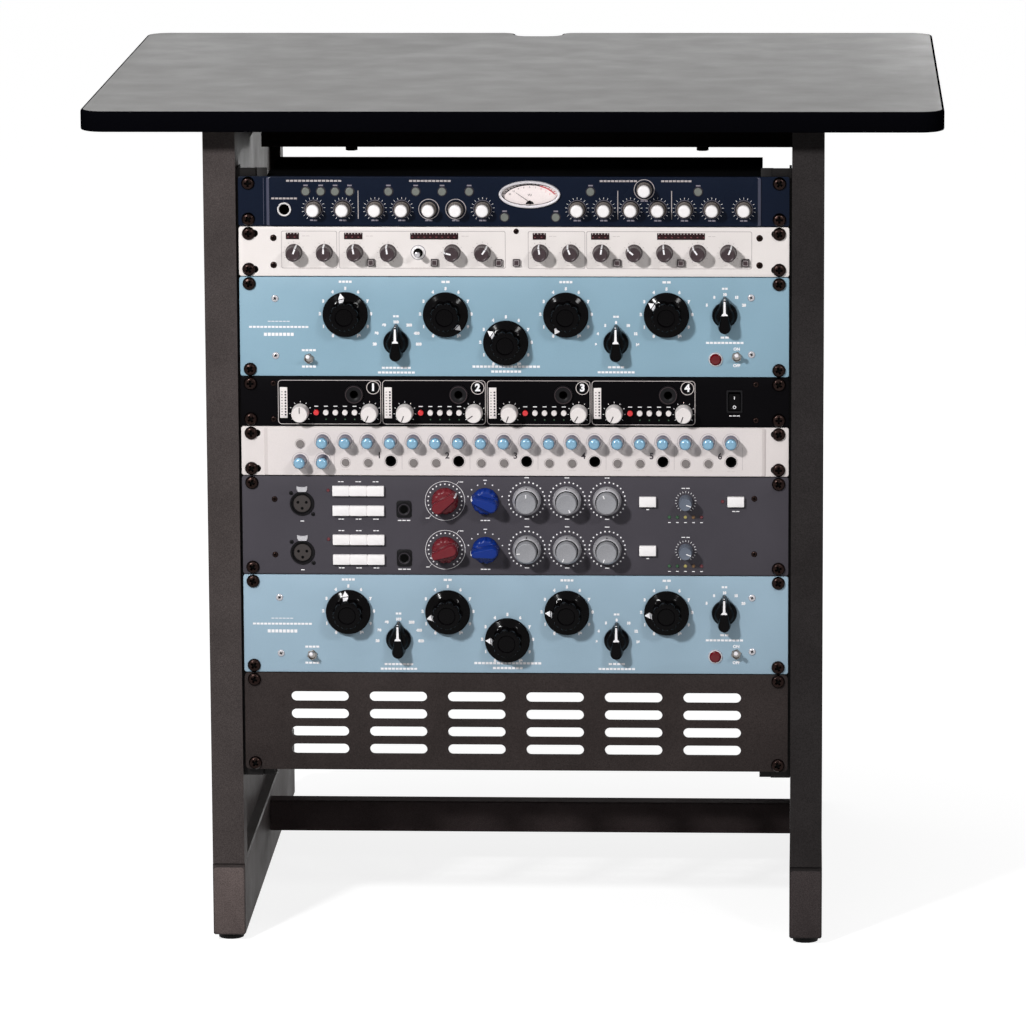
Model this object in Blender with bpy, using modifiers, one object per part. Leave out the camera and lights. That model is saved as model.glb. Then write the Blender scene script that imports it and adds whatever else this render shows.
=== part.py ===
"""A steel desk on two welded side frames, with a rack of audio devices under its top.

The scene is in metres and stands on z = 0, with the devices' fronts towards -y. Every value below is
in millimetres and every angle in degrees. A device is modelled in its panel space: x runs to the
right, y up and z out of the panel's front, and one empty per device carries that space.
"""

import math

import bmesh
import bpy
from mathutils import Matrix, Vector

MM = 0.001
TOUCH = 0.3
FUSE = 1.0

# Desk top
DESK_WIDTH = 750.0
DESK_DEPTH = 600.0
DESK_HEIGHT = 754.0
TOP_THICKNESS = 18.0
TOP_CORNER_RADIUS = 22.0
TOP_EDGE_RADIUS = 2.5
NOTCH_WIDTH = 44.0
NOTCH_DEPTH = 28.0
NOTCH_CORNER_RADIUS = 13.0
NOTCH_LIP_RADIUS = 13.0

# Side frames
FRAME_DEPTH = 500.0
LEG_WIDTH = 28.3
LEG_DEPTH = 30.0
TOP_RAIL_HEIGHT = 30.0
TUBE_CORNER_RADIUS = 2.0
FOOT_WIDTH = 29.0
FOOT_HEIGHT = 65.4
FOOT_TAIL_LENGTH = 45.0
CAP_THICKNESS = 3.0
CAP_SIDE_GAP = 0.2
CAP_TOP_GAP = 3.0
GLIDE_HEIGHT = 6.0
GLIDE_RADIUS = 11.3
GLIDE_INSET = 18.0
SHEET_THICKNESS = 1.5
SHEET_RECESS = 9.5

# Crossbars
BAR_DEPTH = 20.0
BAR_Y = 22.0
BASE_BAR_BOTTOM_Z = 37.2
BASE_BAR_HEIGHT = 29.0
TOP_BAR_HEIGHT = 54.0
BOLT_SPACING = 322.0
BOLT_RADIUS = 5.5
BOLT_HEAD_HEIGHT = 4.0

# Rack
UNIT_HEIGHT = 44.45
RACK_DROP = 45.2
PANEL_WIDTH = 482.6
PANEL_HEIGHT_GAP = 0.8
PANEL_THICKNESS = 3.0
PANEL_CORNER_RADIUS = 2.0
PANEL_SETBACK = 5.0
PANEL_SIDE_GAP = 2.2
RAIL_THICKNESS = 2.0
RAIL_FLANGE_WIDTH = 17.0
RAIL_RETURN_DEPTH = 22.0
RAIL_OVERHANG = 6.3
SCREW_SPACING = 465.1
SCREW_FROM_EDGE = 6.35
SCREW_HEAD_RADIUS = 6.2
SCREW_HEAD_HEIGHT = 2.8

# Device cases
CASE_WALL = 1.2
SHALLOW_CASE_DEPTH = 130.0
MEDIUM_CASE_DEPTH = 180.0
DEEP_CASE_DEPTH = 230.0
CASE_WIDTH = 434.0
CASE_HEIGHT_GAP = 2.0
INLET_X = 165.0
INLET_WIDTH = 27.0
INLET_HEIGHT = 20.0
INLET_DEPTH = 16.0
INLET_WALL = 1.5

# Controls
SHAFT_RADIUS = 3.0
SHAFT_LENGTH = 9.0
SHAFT_CLEARANCE = 1.0
JACK_BORE_RADIUS = 3.4
JACK_DEPTH = 22.0
KEY_CLEARANCE = 0.4
KEY_STEM_LENGTH = 3.6
KNOB_TAPER = 0.88

# Channel strip, the top device
STRIP_RAISED_WIDTH = 433.0
STRIP_RAISED_HEIGHT = 2.0
STRIP_KNOB_RADIUS = 7.0
STRIP_CAP_RADIUS = 5.3
STRIP_KNOB_HEIGHT = 14.0
STRIP_KNOB_Y = -6.6
STRIP_KNOB_X = (-175.0, -149.4, -121.1, -97.6, -73.9, -50.3, -26.7,
                56.0, 79.2, 102.7, 126.4, 149.7, 173.6)
STRIP_HIGH_KNOB = (114.6, 10.8)
STRIP_OUTPUT_X = 201.4
STRIP_KEY_RADIUS = 3.6
STRIP_KEY_HEIGHT = 1.6
STRIP_KEY_Y = 9.0
STRIP_KEY_X = (-168.5, -155.9, -143.2, -109.1, -85.2, -62.1, -38.4, 67.7, 161.7)
STRIP_BYPASS_X = -181.7
STRIP_LOW_KEYS = ((-7.5, -13.6), (37.3, -13.6))
STRIP_JACK = (-200.7, -6.9)
STRIP_JACK_RADIUS = 6.1

# Meter of the channel strip
METER_X = 14.4
METER_Y = 6.6
METER_WIDTH = 54.0
METER_HEIGHT = 24.4
METER_RIM_WIDTH = 2.8
METER_RIM_HEIGHT = 2.6
METER_WALL = 1.0
METER_DEPTH = 9.0
METER_FACE_DEPTH = 3.0
NEEDLE_HUB_RADIUS = 1.6
NEEDLE_LENGTH = 15.0
NEEDLE_WIDTH = 0.9
NEEDLE_THICKNESS = 0.6
NEEDLE_REST = -55.0

# Dynamics processor
DYNAMICS_KNOB_RADIUS = 7.3
DYNAMICS_KNOB_HEIGHT = 15.0
DYNAMICS_KNOB_Y = -0.8
DYNAMICS_KNOB_X = (-192.8, -166.0, -139.3, -110.0, -53.8, -27.3, 23.3, 50.0, 76.7, 105.6, 132.3, 161.3)
DYNAMICS_OUTPUT_X = 188.1
DYNAMICS_OUTPUT_REST = 22.0
DYNAMICS_BARE_X = -83.6
DYNAMICS_NUT_RADIUS = 5.6
DYNAMICS_NUT_HEIGHT = 2.2
DYNAMICS_KEY_WIDTH = 6.2
DYNAMICS_KEY_HEIGHT = 3.0
DYNAMICS_KEY_Y = -9.5
DYNAMICS_KEY_X = (-125.2, -69.4, -12.9, 2.6, 90.7, 146.5)
DYNAMICS_BYPASS_X = 203.0

# Equalizers
EQ_CENTRE_X = -7.0
EQ_HIGH_Y = 11.3
EQ_LOW_Y = -13.7
EQ_OUTER_X = 141.0
EQ_INNER_X = 52.8
EQ_SWITCH_X = 96.7
EQ_RIGHT_SWITCH_X = 185.0
EQ_TOGGLE_LEFT = (-180.7, -28.5)
EQ_TOGGLE_RIGHT = (195.5, -26.2)
EQ_LAMP = (177.0, -28.4)
EQ_LAMP_RADIUS = 5.6
EQ_LAMP_HEIGHT = 3.5
EQ_UPPER_REST = (-12.0, 135.0, -55.0, -150.0, -55.0)
EQ_LOWER_REST = (-8.0, -107.0, -90.0, -90.0, -95.0)

# Equalizer knob, a fluted grip on a skirt
DIAL_SKIRT_RADIUS = 20.0
DIAL_SKIRT_HEIGHT = 7.0
DIAL_GRIP_RADIUS = 13.2
DIAL_GRIP_FOOT_HEIGHT = 8.7
DIAL_GRIP_TOP_RADIUS = 12.0
DIAL_HEIGHT = 22.0
DIAL_LOBES = 9
DIAL_FLUTE_DEPTH = 1.0

# Pointer knob, a bar on a teardrop body and a round base
POINTER_BASE_RADIUS = 10.9
POINTER_BASE_HEIGHT = 5.0
POINTER_BODY_RADIUS = 9.4
POINTER_BODY_HEIGHT = 8.0
POINTER_REACH = 15.5
POINTER_TAIL_REACH = 16.5
POINTER_TIP_RADIUS = 2.2
POINTER_TAIL_RADIUS = 6.0
POINTER_HEIGHT = 16.0

# Toggle switch
TOGGLE_NUT_RADIUS = 5.0
TOGGLE_NUT_HEIGHT = 2.0
TOGGLE_BARREL_RADIUS = 3.9
TOGGLE_BARREL_HEIGHT = 5.0
TOGGLE_BORE_RADIUS = 3.0
TOGGLE_BALL_RADIUS = 1.9
TOGGLE_STEM_RADIUS = 1.1
TOGGLE_TIP_RADIUS = 1.9
TOGGLE_LENGTH = 14.5
TOGGLE_REST = 12.0

# Quad unit
MODULE_COUNT = 4
MODULE_PITCH = 92.2
MODULE_LEFT_X = -208.7
MODULE_KNOB_X = (20.0, 81.1)
MODULE_ROW_Y = -9.8
MODULE_KNOB_RADIUS = 7.7
MODULE_KNOB_HEIGHT = 14.0
MODULE_RED_X = 34.0
MODULE_KEY_X = 42.5
MODULE_KEY_PITCH = 8.45
MODULE_KEYS = 4
MODULE_KEY_RADIUS = 2.4
MODULE_KEY_HEIGHT = 3.0
MODULE_JACK_X = 67.4
MODULE_JACK_Y = 6.2
MODULE_JACK_RADIUS = 7.6
JACK_RIM_HEIGHT = 2.0
ROCKER_X = 193.6
ROCKER_Y = 0.8
ROCKER_WIDTH = 11.0
ROCKER_HEIGHT = 17.0
ROCKER_DEPTH = 3.6
ROCKER_PROUD_HEIGHT = 2.0
ROCKER_BEZEL_WIDTH = 1.6
ROCKER_BEZEL_HEIGHT = 1.2
ROCKER_CLEARANCE = 0.5
ROCKER_TILT = 7.0

# Headphone amplifier, a grid of equal columns
GRID_PITCH = 20.0
GRID_SHIFT_X = 0.7
GRID_COLUMNS = 20
GRID_HIGH_Y = 9.3
GRID_LOW_Y = -8.6
GRID_KEY_Y = -10.2
GRID_FIRST_KEY_Y = 6.5
GRID_KNOB_RADIUS = 5.9
GRID_KNOB_HEIGHT = 16.0
GRID_KEY_RADIUS = 3.0
GRID_KEY_HEIGHT = 2.0
GRID_JACK_RADIUS = 4.8

# Dual preamplifier
CHANNEL_PITCH = 44.0
CHANNEL_MIDDLE_Y = 0.2
SOCKET_X = -188.2
SOCKET_DROP = 3.0
SOCKET_RADIUS = 10.0
SOCKET_INSERT_RADIUS = 8.0
SOCKET_GROOVE_DEPTH = 12.0
SOCKET_RIM_WIDTH = 1.4
SOCKET_RIM_HEIGHT = 1.0
LATCH_WIDTH = 9.5
LATCH_HEIGHT = 5.5
LATCH_RISE = 13.3
BLOCK_KEY_X = (-153.7, -138.3, -122.9)
BLOCK_KEY_WIDTH = 15.0
BLOCK_KEY_HEIGHT = 8.8
BLOCK_KEY_ROW_Y = 8.9
BLOCK_KEY_PROUD_HEIGHT = 3.5
DUAL_JACK_X = -98.0
DUAL_JACK_DROP = 7.6
DUAL_JACK_WIDTH = 13.0
GAIN_X = -61.7
OUTPUT_X = -26.2
WING_BASE_RADIUS = 12.0
WING_BASE_HEIGHT = 4.0
WING_REACH = 8.0
WING_RADIUS = 4.6
WING_HEIGHT = 21.0
GAIN_REST = (55.0, -110.0)
OUTPUT_REST = (-70.0, -95.0)
STACK_X = (10.6, 46.1, 81.5)
STACK_RISE = 1.0
STACK_OUTER_RADIUS = 12.6
STACK_OUTER_HEIGHT = 11.0
STACK_INNER_RADIUS = 9.7
STACK_HEIGHT = 21.0
STACK_BORE_RADIUS = 2.0
STACK_SPINDLE_RADIUS = 1.5
WIDE_KEY_X = 117.3
WIDE_KEY_WIDTH = 14.8
WIDE_KEY_HEIGHT = 9.0
LEVEL_X = 150.8
LEVEL_RADIUS = 6.2
LEVEL_HEIGHT = 16.0
POWER_KEY = (194.9, 22.4)

# Vent panel
VENT_ROWS = 4
VENT_COLUMNS = 6
VENT_PITCH = 69.7
VENT_LENGTH = 51.0
VENT_HEIGHT = 9.0
VENT_ROW_PITCH = 15.9
VENT_CENTRE_Y = -1.2
VENT_CORNER_RADIUS = 4.0
VENT_HEM_DEPTH = 12.0
VENT_HEM_WIDTH = 440.0

# Sides of round forms, and of a quarter turn in a rounded outline
SHAFT_SIDES = 6
SMALL_SIDES = 8
KNOB_SIDES = 10
WIDE_SIDES = 12
OVAL_SIDES = 16
ARC_STEPS = 5

# Places worked out from the sizes above
TOP_UNDERSIDE = DESK_HEIGHT - TOP_THICKNESS
LEG_INNER = PANEL_WIDTH / 2 + PANEL_SIDE_GAP
LEG_CENTRE = LEG_INNER + LEG_WIDTH / 2
FRAME_TOP = TOP_UNDERSIDE - TOUCH
FOOT_TOP = GLIDE_HEIGHT + FOOT_HEIGHT
FRAME_FRONT = -FRAME_DEPTH / 2
FRAME_BACK = FRAME_DEPTH / 2
PANEL_Y = FRAME_FRONT + PANEL_SETBACK
PANEL_BACK = -PANEL_THICKNESS - TOUCH
THROUGH = (-PANEL_THICKNESS - FUSE, STRIP_RAISED_HEIGHT + FUSE)

# The devices from the top down, each with its height in rack units
STACK = (("channel_strip", 1), ("dynamics", 1), ("upper_equalizer", 2), ("quad_unit", 1),
         ("headphone_amp", 1), ("dual_preamp", 2), ("lower_equalizer", 2), ("vent_panel", 2))
UNITS = {name: units for name, units in STACK}
RACK_BOTTOM = TOP_UNDERSIDE - RACK_DROP - UNIT_HEIGHT * sum(UNITS.values())

# Colour, metallic value and roughness of each finish
FINISHES = {
    "desk_laminate": ((0.030, 0.030, 0.032), 0.0, 0.45),
    "frame_paint": ((0.055, 0.047, 0.045), 0.3, 0.60),
    "navy_panel": ((0.010, 0.014, 0.034), 0.2, 0.40),
    "cream_panel": ((0.72, 0.70, 0.68), 0.1, 0.45),
    "blue_panel": ((0.25, 0.42, 0.54), 0.1, 0.45),
    "black_panel": ((0.008, 0.008, 0.009), 0.1, 0.45),
    "grey_panel": ((0.060, 0.056, 0.064), 0.1, 0.50),
    "case_steel": ((0.012, 0.012, 0.013), 0.4, 0.50),
    "black_plastic": ((0.006, 0.006, 0.006), 0.0, 0.30),
    "grey_plastic": ((0.32, 0.31, 0.33), 0.0, 0.40),
    "white_plastic": ((0.85, 0.83, 0.80), 0.0, 0.35),
    "blue_plastic": ((0.020, 0.045, 0.30), 0.0, 0.30),
    "red_plastic": ((0.30, 0.018, 0.022), 0.0, 0.30),
    "pale_blue_plastic": ((0.32, 0.46, 0.58), 0.0, 0.40),
    "clear_grey_plastic": ((0.22, 0.24, 0.23), 0.0, 0.35),
    "chrome": ((0.75, 0.75, 0.76), 1.0, 0.15),
    "rack_steel": ((0.10, 0.095, 0.09), 0.9, 0.30),
}

parts = bpy.data.collections.new("desktop_studio_rack")
cutters = bpy.data.collections.new("cutters")


def clear_scene():
    for obj in list(bpy.data.objects):
        bpy.data.objects.remove(obj, do_unlink=True)
    for collection in (parts, cutters):
        bpy.context.scene.collection.children.link(collection)


def finish_of(name):
    """The named finish as a material, made once."""
    material = bpy.data.materials.get(name)
    if material:
        return material
    colour, metallic, roughness = FINISHES[name]
    material = bpy.data.materials.new(name)
    material.use_nodes = True
    shader = material.node_tree.nodes["Principled BSDF"]
    shader.inputs["Base Color"].default_value = (*colour, 1)
    shader.inputs["Metallic"].default_value = metallic
    shader.inputs["Roughness"].default_value = roughness
    return material


def solid_mesh(name, bm):
    """The mesh of a form drawn in millimetres, in metres and facing out."""
    bmesh.ops.recalc_face_normals(bm, faces=bm.faces)
    bm.transform(Matrix.Scale(MM, 4))
    mesh = bpy.data.meshes.new(name)
    bm.to_mesh(mesh)
    bm.free()
    mesh.shade_smooth()
    mesh.set_sharp_from_angle(angle=math.radians(35))
    return mesh


def add_part(name, form, finish, space=None):
    """A visible object from a bmesh or from a mesh that another part already has."""
    mesh = solid_mesh(name, form) if isinstance(form, bmesh.types.BMesh) else form
    if not mesh.materials:
        mesh.materials.append(finish_of(finish))
    obj = bpy.data.objects.new(name, mesh)
    obj.parent = space
    parts.objects.link(obj)
    return obj


def change(part, operation, form, word):
    """Cuts a form from a part, or joins it on, with a helper object that stays out of the render."""
    name = f"{part.name}_{word}"
    helper = bpy.data.objects.new(name, solid_mesh(name, form))
    helper.parent = part
    helper.hide_render = True
    helper.display_type = "WIRE"
    cutters.objects.link(helper)
    modifier = part.modifiers.new(word, "BOOLEAN")
    modifier.operation = operation
    modifier.object = helper


def cut(part, form, word="holes"):
    change(part, "DIFFERENCE", form, word)


def join(part, form, word="fittings"):
    change(part, "UNION", form, word)


def round_edges(part, width, segments=1):
    bevel = part.modifiers.new("rounded edges", "BEVEL")
    bevel.width = width * MM
    bevel.segments = segments
    bevel.limit_method = "ANGLE"
    bevel.angle_limit = math.radians(50)


def box(bm, low, high):
    """A block between two corners."""
    size = Vector(high) - Vector(low)
    middle = (Vector(high) + Vector(low)) / 2
    bmesh.ops.create_cube(bm, size=1, matrix=Matrix.Translation(middle) @ Matrix.Diagonal((*size, 1)))


def disc(bm, x, y, radius, z0, z1, sides, top_radius=None):
    """A round bar or a cone along z."""
    bmesh.ops.create_cone(
        bm, cap_ends=True, segments=sides, depth=z1 - z0,
        radius1=radius, radius2=radius if top_radius is None else top_radius,
        matrix=Matrix.Translation((x, y, (z0 + z1) / 2)) @ Matrix.Rotation(math.pi / sides, 4, "Z"))


def prism(bm, x, y, width, height, corner, z0, z1, steps=2):
    """A block along z whose outline has rounded corners. A corner of half its height makes round ends."""
    count = 4 * steps
    ring = bmesh.ops.create_circle(
        bm, cap_ends=True, segments=count, radius=corner / math.cos(math.pi / count),
        matrix=Matrix.Rotation(math.pi / count, 4, "Z"))["verts"]
    for vert in ring:
        vert.co.x += x + math.copysign(width / 2 - corner, vert.co.x)
        vert.co.y += y + math.copysign(height / 2 - corner, vert.co.y)
        vert.co.z = z0
    extrude(bm, ring, z1 - z0)


def ellipse(bm, x, y, width, height, z0, z1, sides=OVAL_SIDES):
    """An oval bar along z."""
    ring = bmesh.ops.create_circle(bm, cap_ends=True, segments=sides, radius=1)["verts"]
    for vert in ring:
        vert.co = (x + vert.co.x * width / 2, y + vert.co.y * height / 2, z0)
    extrude(bm, ring, z1 - z0)


def extrude(bm, ring, depth):
    face = ring[0].link_faces[0]
    made = bmesh.ops.extrude_face_region(bm, geom=[face])["geom"]
    moved = [item for item in made if isinstance(item, bmesh.types.BMVert)]
    bmesh.ops.translate(bm, verts=moved, vec=(0, 0, depth))


def turned(bm, x, y, profile, sides):
    """A turned solid about z. The profile runs from the axis back to the axis, or is a closed ring."""
    verts = [bm.verts.new((x + radius, y, z)) for radius, z in profile]
    pairs = list(zip(verts, verts[1:]))
    if profile[0][0] > 0:
        pairs.append((verts[-1], verts[0]))
    edges = [bm.edges.new(pair) for pair in pairs]
    bmesh.ops.spin(bm, geom=verts + edges, cent=(x, y, 0), axis=(0, 0, 1),
                   angle=2 * math.pi, steps=sides, use_merge=True)
    bmesh.ops.remove_doubles(bm, verts=bm.verts, dist=0.001)


def wedge(bm, reach, reach_radius, tail, tail_radius, z0, z1, narrowing=0.8):
    """The hull of a round nose at +y and a round tail at -y, which narrows a little towards its top."""
    verts = []
    for y, radius in ((reach - reach_radius, reach_radius), (tail_radius - tail, tail_radius)):
        for z, size in ((z0, radius), (z1, radius * narrowing)):
            matrix = Matrix.Translation((0, y, z)) @ Matrix.Rotation(math.pi / 8, 4, "Z")
            verts += bmesh.ops.create_circle(bm, segments=8, radius=size, matrix=matrix)["verts"]
    hull = bmesh.ops.convex_hull(bm, input=verts)
    inside = [item for item in hull["geom_interior"] if isinstance(item, bmesh.types.BMVert)]
    bmesh.ops.delete(bm, geom=inside, context="VERTS")


def knob_form(bm, x, y, radius, height, base=-FUSE, sides=SMALL_SIDES):
    """A round form that tapers a little towards its front."""
    disc(bm, x, y, radius, base, height, sides, radius * KNOB_TAPER)


def jack_form(bm, x, y, rim, face=0.0):
    """A socket for a quarter-inch plug: a rim on the panel and a blind sleeve behind it."""
    front = face + JACK_RIM_HEIGHT
    floor = front - JACK_DEPTH
    turned(bm, x, y, ((0, floor), (JACK_BORE_RADIUS, floor), (JACK_BORE_RADIUS, front), (rim, front),
                      (rim, floor - FUSE), (0, floor - FUSE)), SMALL_SIDES)


def jack_hole(bm, x, y, rim):
    disc(bm, x, y, (rim + JACK_BORE_RADIUS) / 2, *THROUGH, SMALL_SIDES)


def shaft_hole(bm, x, y):
    disc(bm, x, y, SHAFT_RADIUS + SHAFT_CLEARANCE, *THROUGH, SHAFT_SIDES)


def add_shaft(knob, radius=SHAFT_RADIUS, back=-SHAFT_LENGTH, front=TOUCH):
    """The shaft behind a knob whose underside is at the front height."""
    form = bmesh.new()
    disc(form, 0, 0, radius, back, front + FUSE, SHAFT_SIDES)
    join(knob, form, "shaft")


def place(part, x, y, z=0.0, angle=0.0):
    """Puts a part in its panel space, turned clockwise as seen from the front."""
    part.location = Vector((x, y, z)) * MM
    part.rotation_euler = (0, 0, -math.radians(angle))


def panel_height(units):
    return units * UNIT_HEIGHT - PANEL_HEIGHT_GAP


def spaces():
    """One empty at the middle of each panel's front, from the top of the rack down."""
    level = RACK_BOTTOM + UNIT_HEIGHT * sum(UNITS.values())
    made = {}
    for name, units in STACK:
        empty = bpy.data.objects.new(f"{name}_space", None)
        empty.location = Vector((0, PANEL_Y, level - units * UNIT_HEIGHT / 2)) * MM
        empty.rotation_euler = (math.pi / 2, 0, 0)
        parts.objects.link(empty)
        made[name] = empty
        level -= units * UNIT_HEIGHT
    return made


def arc(x, y, radius, start, end):
    """Points along a circle, counterclockwise where the end is the larger angle."""
    turns = [math.radians(start + (end - start) * step / ARC_STEPS) for step in range(ARC_STEPS + 1)]
    return [(x + radius * math.cos(turn), y + radius * math.sin(turn)) for turn in turns]


def desktop():
    """The board, whose back edge dips into a cable notch between two rounded lips."""
    back = DESK_DEPTH / 2
    side = DESK_WIDTH / 2 - TOP_CORNER_RADIUS
    end = back - TOP_CORNER_RADIUS
    lip = NOTCH_WIDTH / 2 + NOTCH_LIP_RADIUS
    corner = NOTCH_WIDTH / 2 - NOTCH_CORNER_RADIUS
    half = (arc(side, -end, TOP_CORNER_RADIUS, -90, 0) + arc(side, end, TOP_CORNER_RADIUS, 0, 90)
            + arc(lip, back - NOTCH_LIP_RADIUS, NOTCH_LIP_RADIUS, 90, 180)
            + arc(corner, back - NOTCH_DEPTH + NOTCH_CORNER_RADIUS, NOTCH_CORNER_RADIUS, 0, -90))
    bm = bmesh.new()
    ring = [bm.verts.new((x, y, TOP_UNDERSIDE)) for x, y in half + [(-x, y) for x, y in reversed(half)]]
    bm.faces.new(ring)
    extrude(bm, ring, TOP_THICKNESS)
    top = add_part("desktop", bm, "desk_laminate")
    round_edges(top, TOP_EDGE_RADIUS)


def side_frame(name, side):
    """A welded frame of tubes with a sheet in it. Its space has x to the back, y up and z outwards."""
    space = bpy.data.objects.new(f"{name}_space", None)
    turn = Matrix(((0, 0, side, 0), (1, 0, 0, 0), (0, 1, 0, 0), (0, 0, 0, 1)))
    space.matrix_world = Matrix.Translation((side * LEG_CENTRE * MM, 0, 0)) @ turn
    parts.objects.link(space)
    half = LEG_WIDTH / 2
    bottom = FOOT_TOP - FUSE
    bm = bmesh.new()
    prism(bm, 0, (FRAME_TOP + bottom) / 2, FRAME_DEPTH, FRAME_TOP - bottom, TUBE_CORNER_RADIUS, -half, half)
    frame = add_part(name, bm, "frame_paint", space)
    window = bmesh.new()
    low = bottom - FUSE
    high = FRAME_TOP - TOP_RAIL_HEIGHT
    prism(window, 0, (low + high) / 2, FRAME_DEPTH - 2 * LEG_DEPTH, high - low, TUBE_CORNER_RADIUS,
          -LEG_WIDTH, LEG_WIDTH)
    cut(frame, window, "window")
    round_edges(frame, TUBE_CORNER_RADIUS)
    foot = bmesh.new()
    foot_front = FRAME_FRONT + CAP_THICKNESS - FUSE
    foot_back = FRAME_BACK + FOOT_TAIL_LENGTH - CAP_THICKNESS + FUSE
    prism(foot, 0, 0, FOOT_WIDTH, FOOT_HEIGHT, TUBE_CORNER_RADIUS, foot_front, foot_back)
    lay_down = Matrix(((0, 0, 1, 0), (0, 1, 0, GLIDE_HEIGHT + FOOT_HEIGHT / 2), (1, 0, 0, 0), (0, 0, 0, 1)))
    foot.transform(lay_down)
    join(frame, foot, "foot_rail")
    for word, start, end in (("front_cap", FRAME_FRONT, foot_front + FUSE),
                             ("rear_cap", foot_back - FUSE, FRAME_BACK + FOOT_TAIL_LENGTH)):
        cap = bmesh.new()
        prism(cap, 0, -CAP_TOP_GAP / 2, FOOT_WIDTH - 2 * CAP_SIDE_GAP, FOOT_HEIGHT - CAP_TOP_GAP,
              TUBE_CORNER_RADIUS, start, end)
        cap.transform(lay_down)
        join(frame, cap, word)
    sheet = bmesh.new()
    reach = FRAME_DEPTH / 2 - LEG_DEPTH + FUSE
    inner = SHEET_RECESS - half
    box(sheet, (-reach, FOOT_TOP - FUSE, inner), (reach, high + FUSE, inner + SHEET_THICKNESS))
    join(frame, sheet, "sheet")
    for word, place_x in (("front_glide", FRAME_FRONT + GLIDE_INSET),
                          ("rear_glide", FRAME_BACK + FOOT_TAIL_LENGTH - GLIDE_INSET)):
        glide = bmesh.new()
        disc(glide, place_x, 0, GLIDE_RADIUS, -GLIDE_HEIGHT - FUSE, 0, WIDE_SIDES)
        glide.transform(Matrix(((1, 0, 0, 0), (0, 0, -1, 0), (0, 1, 0, 0), (0, 0, 0, 1))))
        join(frame, glide, word)


def crossbar(name, low, high, reach):
    """A rectangular tube across the desk between the side frames."""
    bm = bmesh.new()
    prism(bm, 0, 0, BAR_DEPTH, high - low, TUBE_CORNER_RADIUS, -reach, reach)
    bm.transform(Matrix(((0, 0, 1, 0), (1, 0, 0, BAR_Y), (0, 1, 0, (low + high) / 2), (0, 0, 0, 1))))
    return add_part(name, bm, "frame_paint")


def crossbars():
    crossbar("base_crossbar", BASE_BAR_BOTTOM_Z, BASE_BAR_BOTTOM_Z + BASE_BAR_HEIGHT,
             LEG_CENTRE - FOOT_WIDTH / 2 - TOUCH)
    low = FRAME_TOP - TOP_BAR_HEIGHT
    bar = crossbar("top_crossbar", low, FRAME_TOP, LEG_INNER - TOUCH)
    bolts = bmesh.new()
    for x in (-BOLT_SPACING / 2, BOLT_SPACING / 2):
        disc(bolts, x, BAR_Y, BOLT_RADIUS, low - BOLT_HEAD_HEIGHT, low + FUSE, SHAFT_SIDES)
    join(bar, bolts, "bolts")


def rack_rail(name, side):
    """An angle that the panels' ears are screwed to."""
    space = bpy.data.objects.new(f"{name}_space", None)
    space.location = (0, PANEL_Y * MM, 0)
    space.rotation_euler = (math.pi / 2, 0, 0)
    parts.objects.link(space)
    outer = LEG_INNER - TOUCH
    low = RACK_BOTTOM - RAIL_OVERHANG
    high = RACK_BOTTOM + UNIT_HEIGHT * sum(UNITS.values()) + RAIL_OVERHANG
    bm = bmesh.new()
    xs = sorted((side * outer, side * (outer - RAIL_FLANGE_WIDTH)))
    box(bm, (xs[0], low, PANEL_BACK - RAIL_THICKNESS), (xs[1], high, PANEL_BACK))
    rail = add_part(name, bm, "rack_steel", space)
    web = bmesh.new()
    xs = sorted((side * outer, side * (outer - RAIL_THICKNESS)))
    box(web, (xs[0], low, PANEL_BACK - RAIL_RETURN_DEPTH), (xs[1], high, PANEL_BACK - RAIL_THICKNESS / 2))
    join(rail, web, "web")


def faceplate(name, finish, space, corner=PANEL_CORNER_RADIUS):
    """A panel, an empty form for its holes and one for its fittings, which starts with its ears' screws."""
    units = UNITS[name]
    label = name if name == "vent_panel" else f"{name}_faceplate"
    bm = bmesh.new()
    prism(bm, 0, 0, PANEL_WIDTH, panel_height(units), corner, -PANEL_THICKNESS, 0)
    plate = add_part(label, bm, finish, space)
    fittings = bmesh.new()
    row = units * UNIT_HEIGHT / 2 - SCREW_FROM_EDGE
    for x in (-SCREW_SPACING / 2, SCREW_SPACING / 2):
        for y in (-row, row):
            knob_form(fittings, x, y, SCREW_HEAD_RADIUS, SCREW_HEAD_HEIGHT)
    return plate, bmesh.new(), fittings


def chassis(name, depth, space):
    """A sheet-metal case, open at the front where the panel closes it, with a power inlet at its back."""
    half = CASE_WIDTH / 2
    height = panel_height(UNITS[name]) / 2 - CASE_HEIGHT_GAP / 2
    back = PANEL_BACK - depth
    bm = bmesh.new()
    box(bm, (-half, -height, back), (half, height, PANEL_BACK))
    case = add_part(f"{name}_chassis", bm, "case_steel", space)
    hollow = bmesh.new()
    box(hollow, (CASE_WALL - half, CASE_WALL - height, back + CASE_WALL),
        (half - CASE_WALL, height - CASE_WALL, PANEL_BACK + FUSE))
    cut(case, hollow, "hollow")
    shell = bmesh.new()
    half_width = INLET_WIDTH / 2 + INLET_WALL
    half_height = INLET_HEIGHT / 2 + INLET_WALL
    box(shell, (INLET_X - half_width, -half_height, back + CASE_WALL / 2),
        (INLET_X + half_width, half_height, back + INLET_DEPTH + INLET_WALL))
    join(case, shell, "inlet")
    pocket = bmesh.new()
    prism(pocket, INLET_X, 0, INLET_WIDTH, INLET_HEIGHT, INLET_WALL, back - FUSE, back + INLET_DEPTH)
    cut(case, pocket, "pocket")


def knob_part(name, form, finish, space, x, y, face=0.0, angle=0.0):
    part = add_part(name, form, finish, space)
    place(part, x, y, face, angle)
    return part


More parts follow.
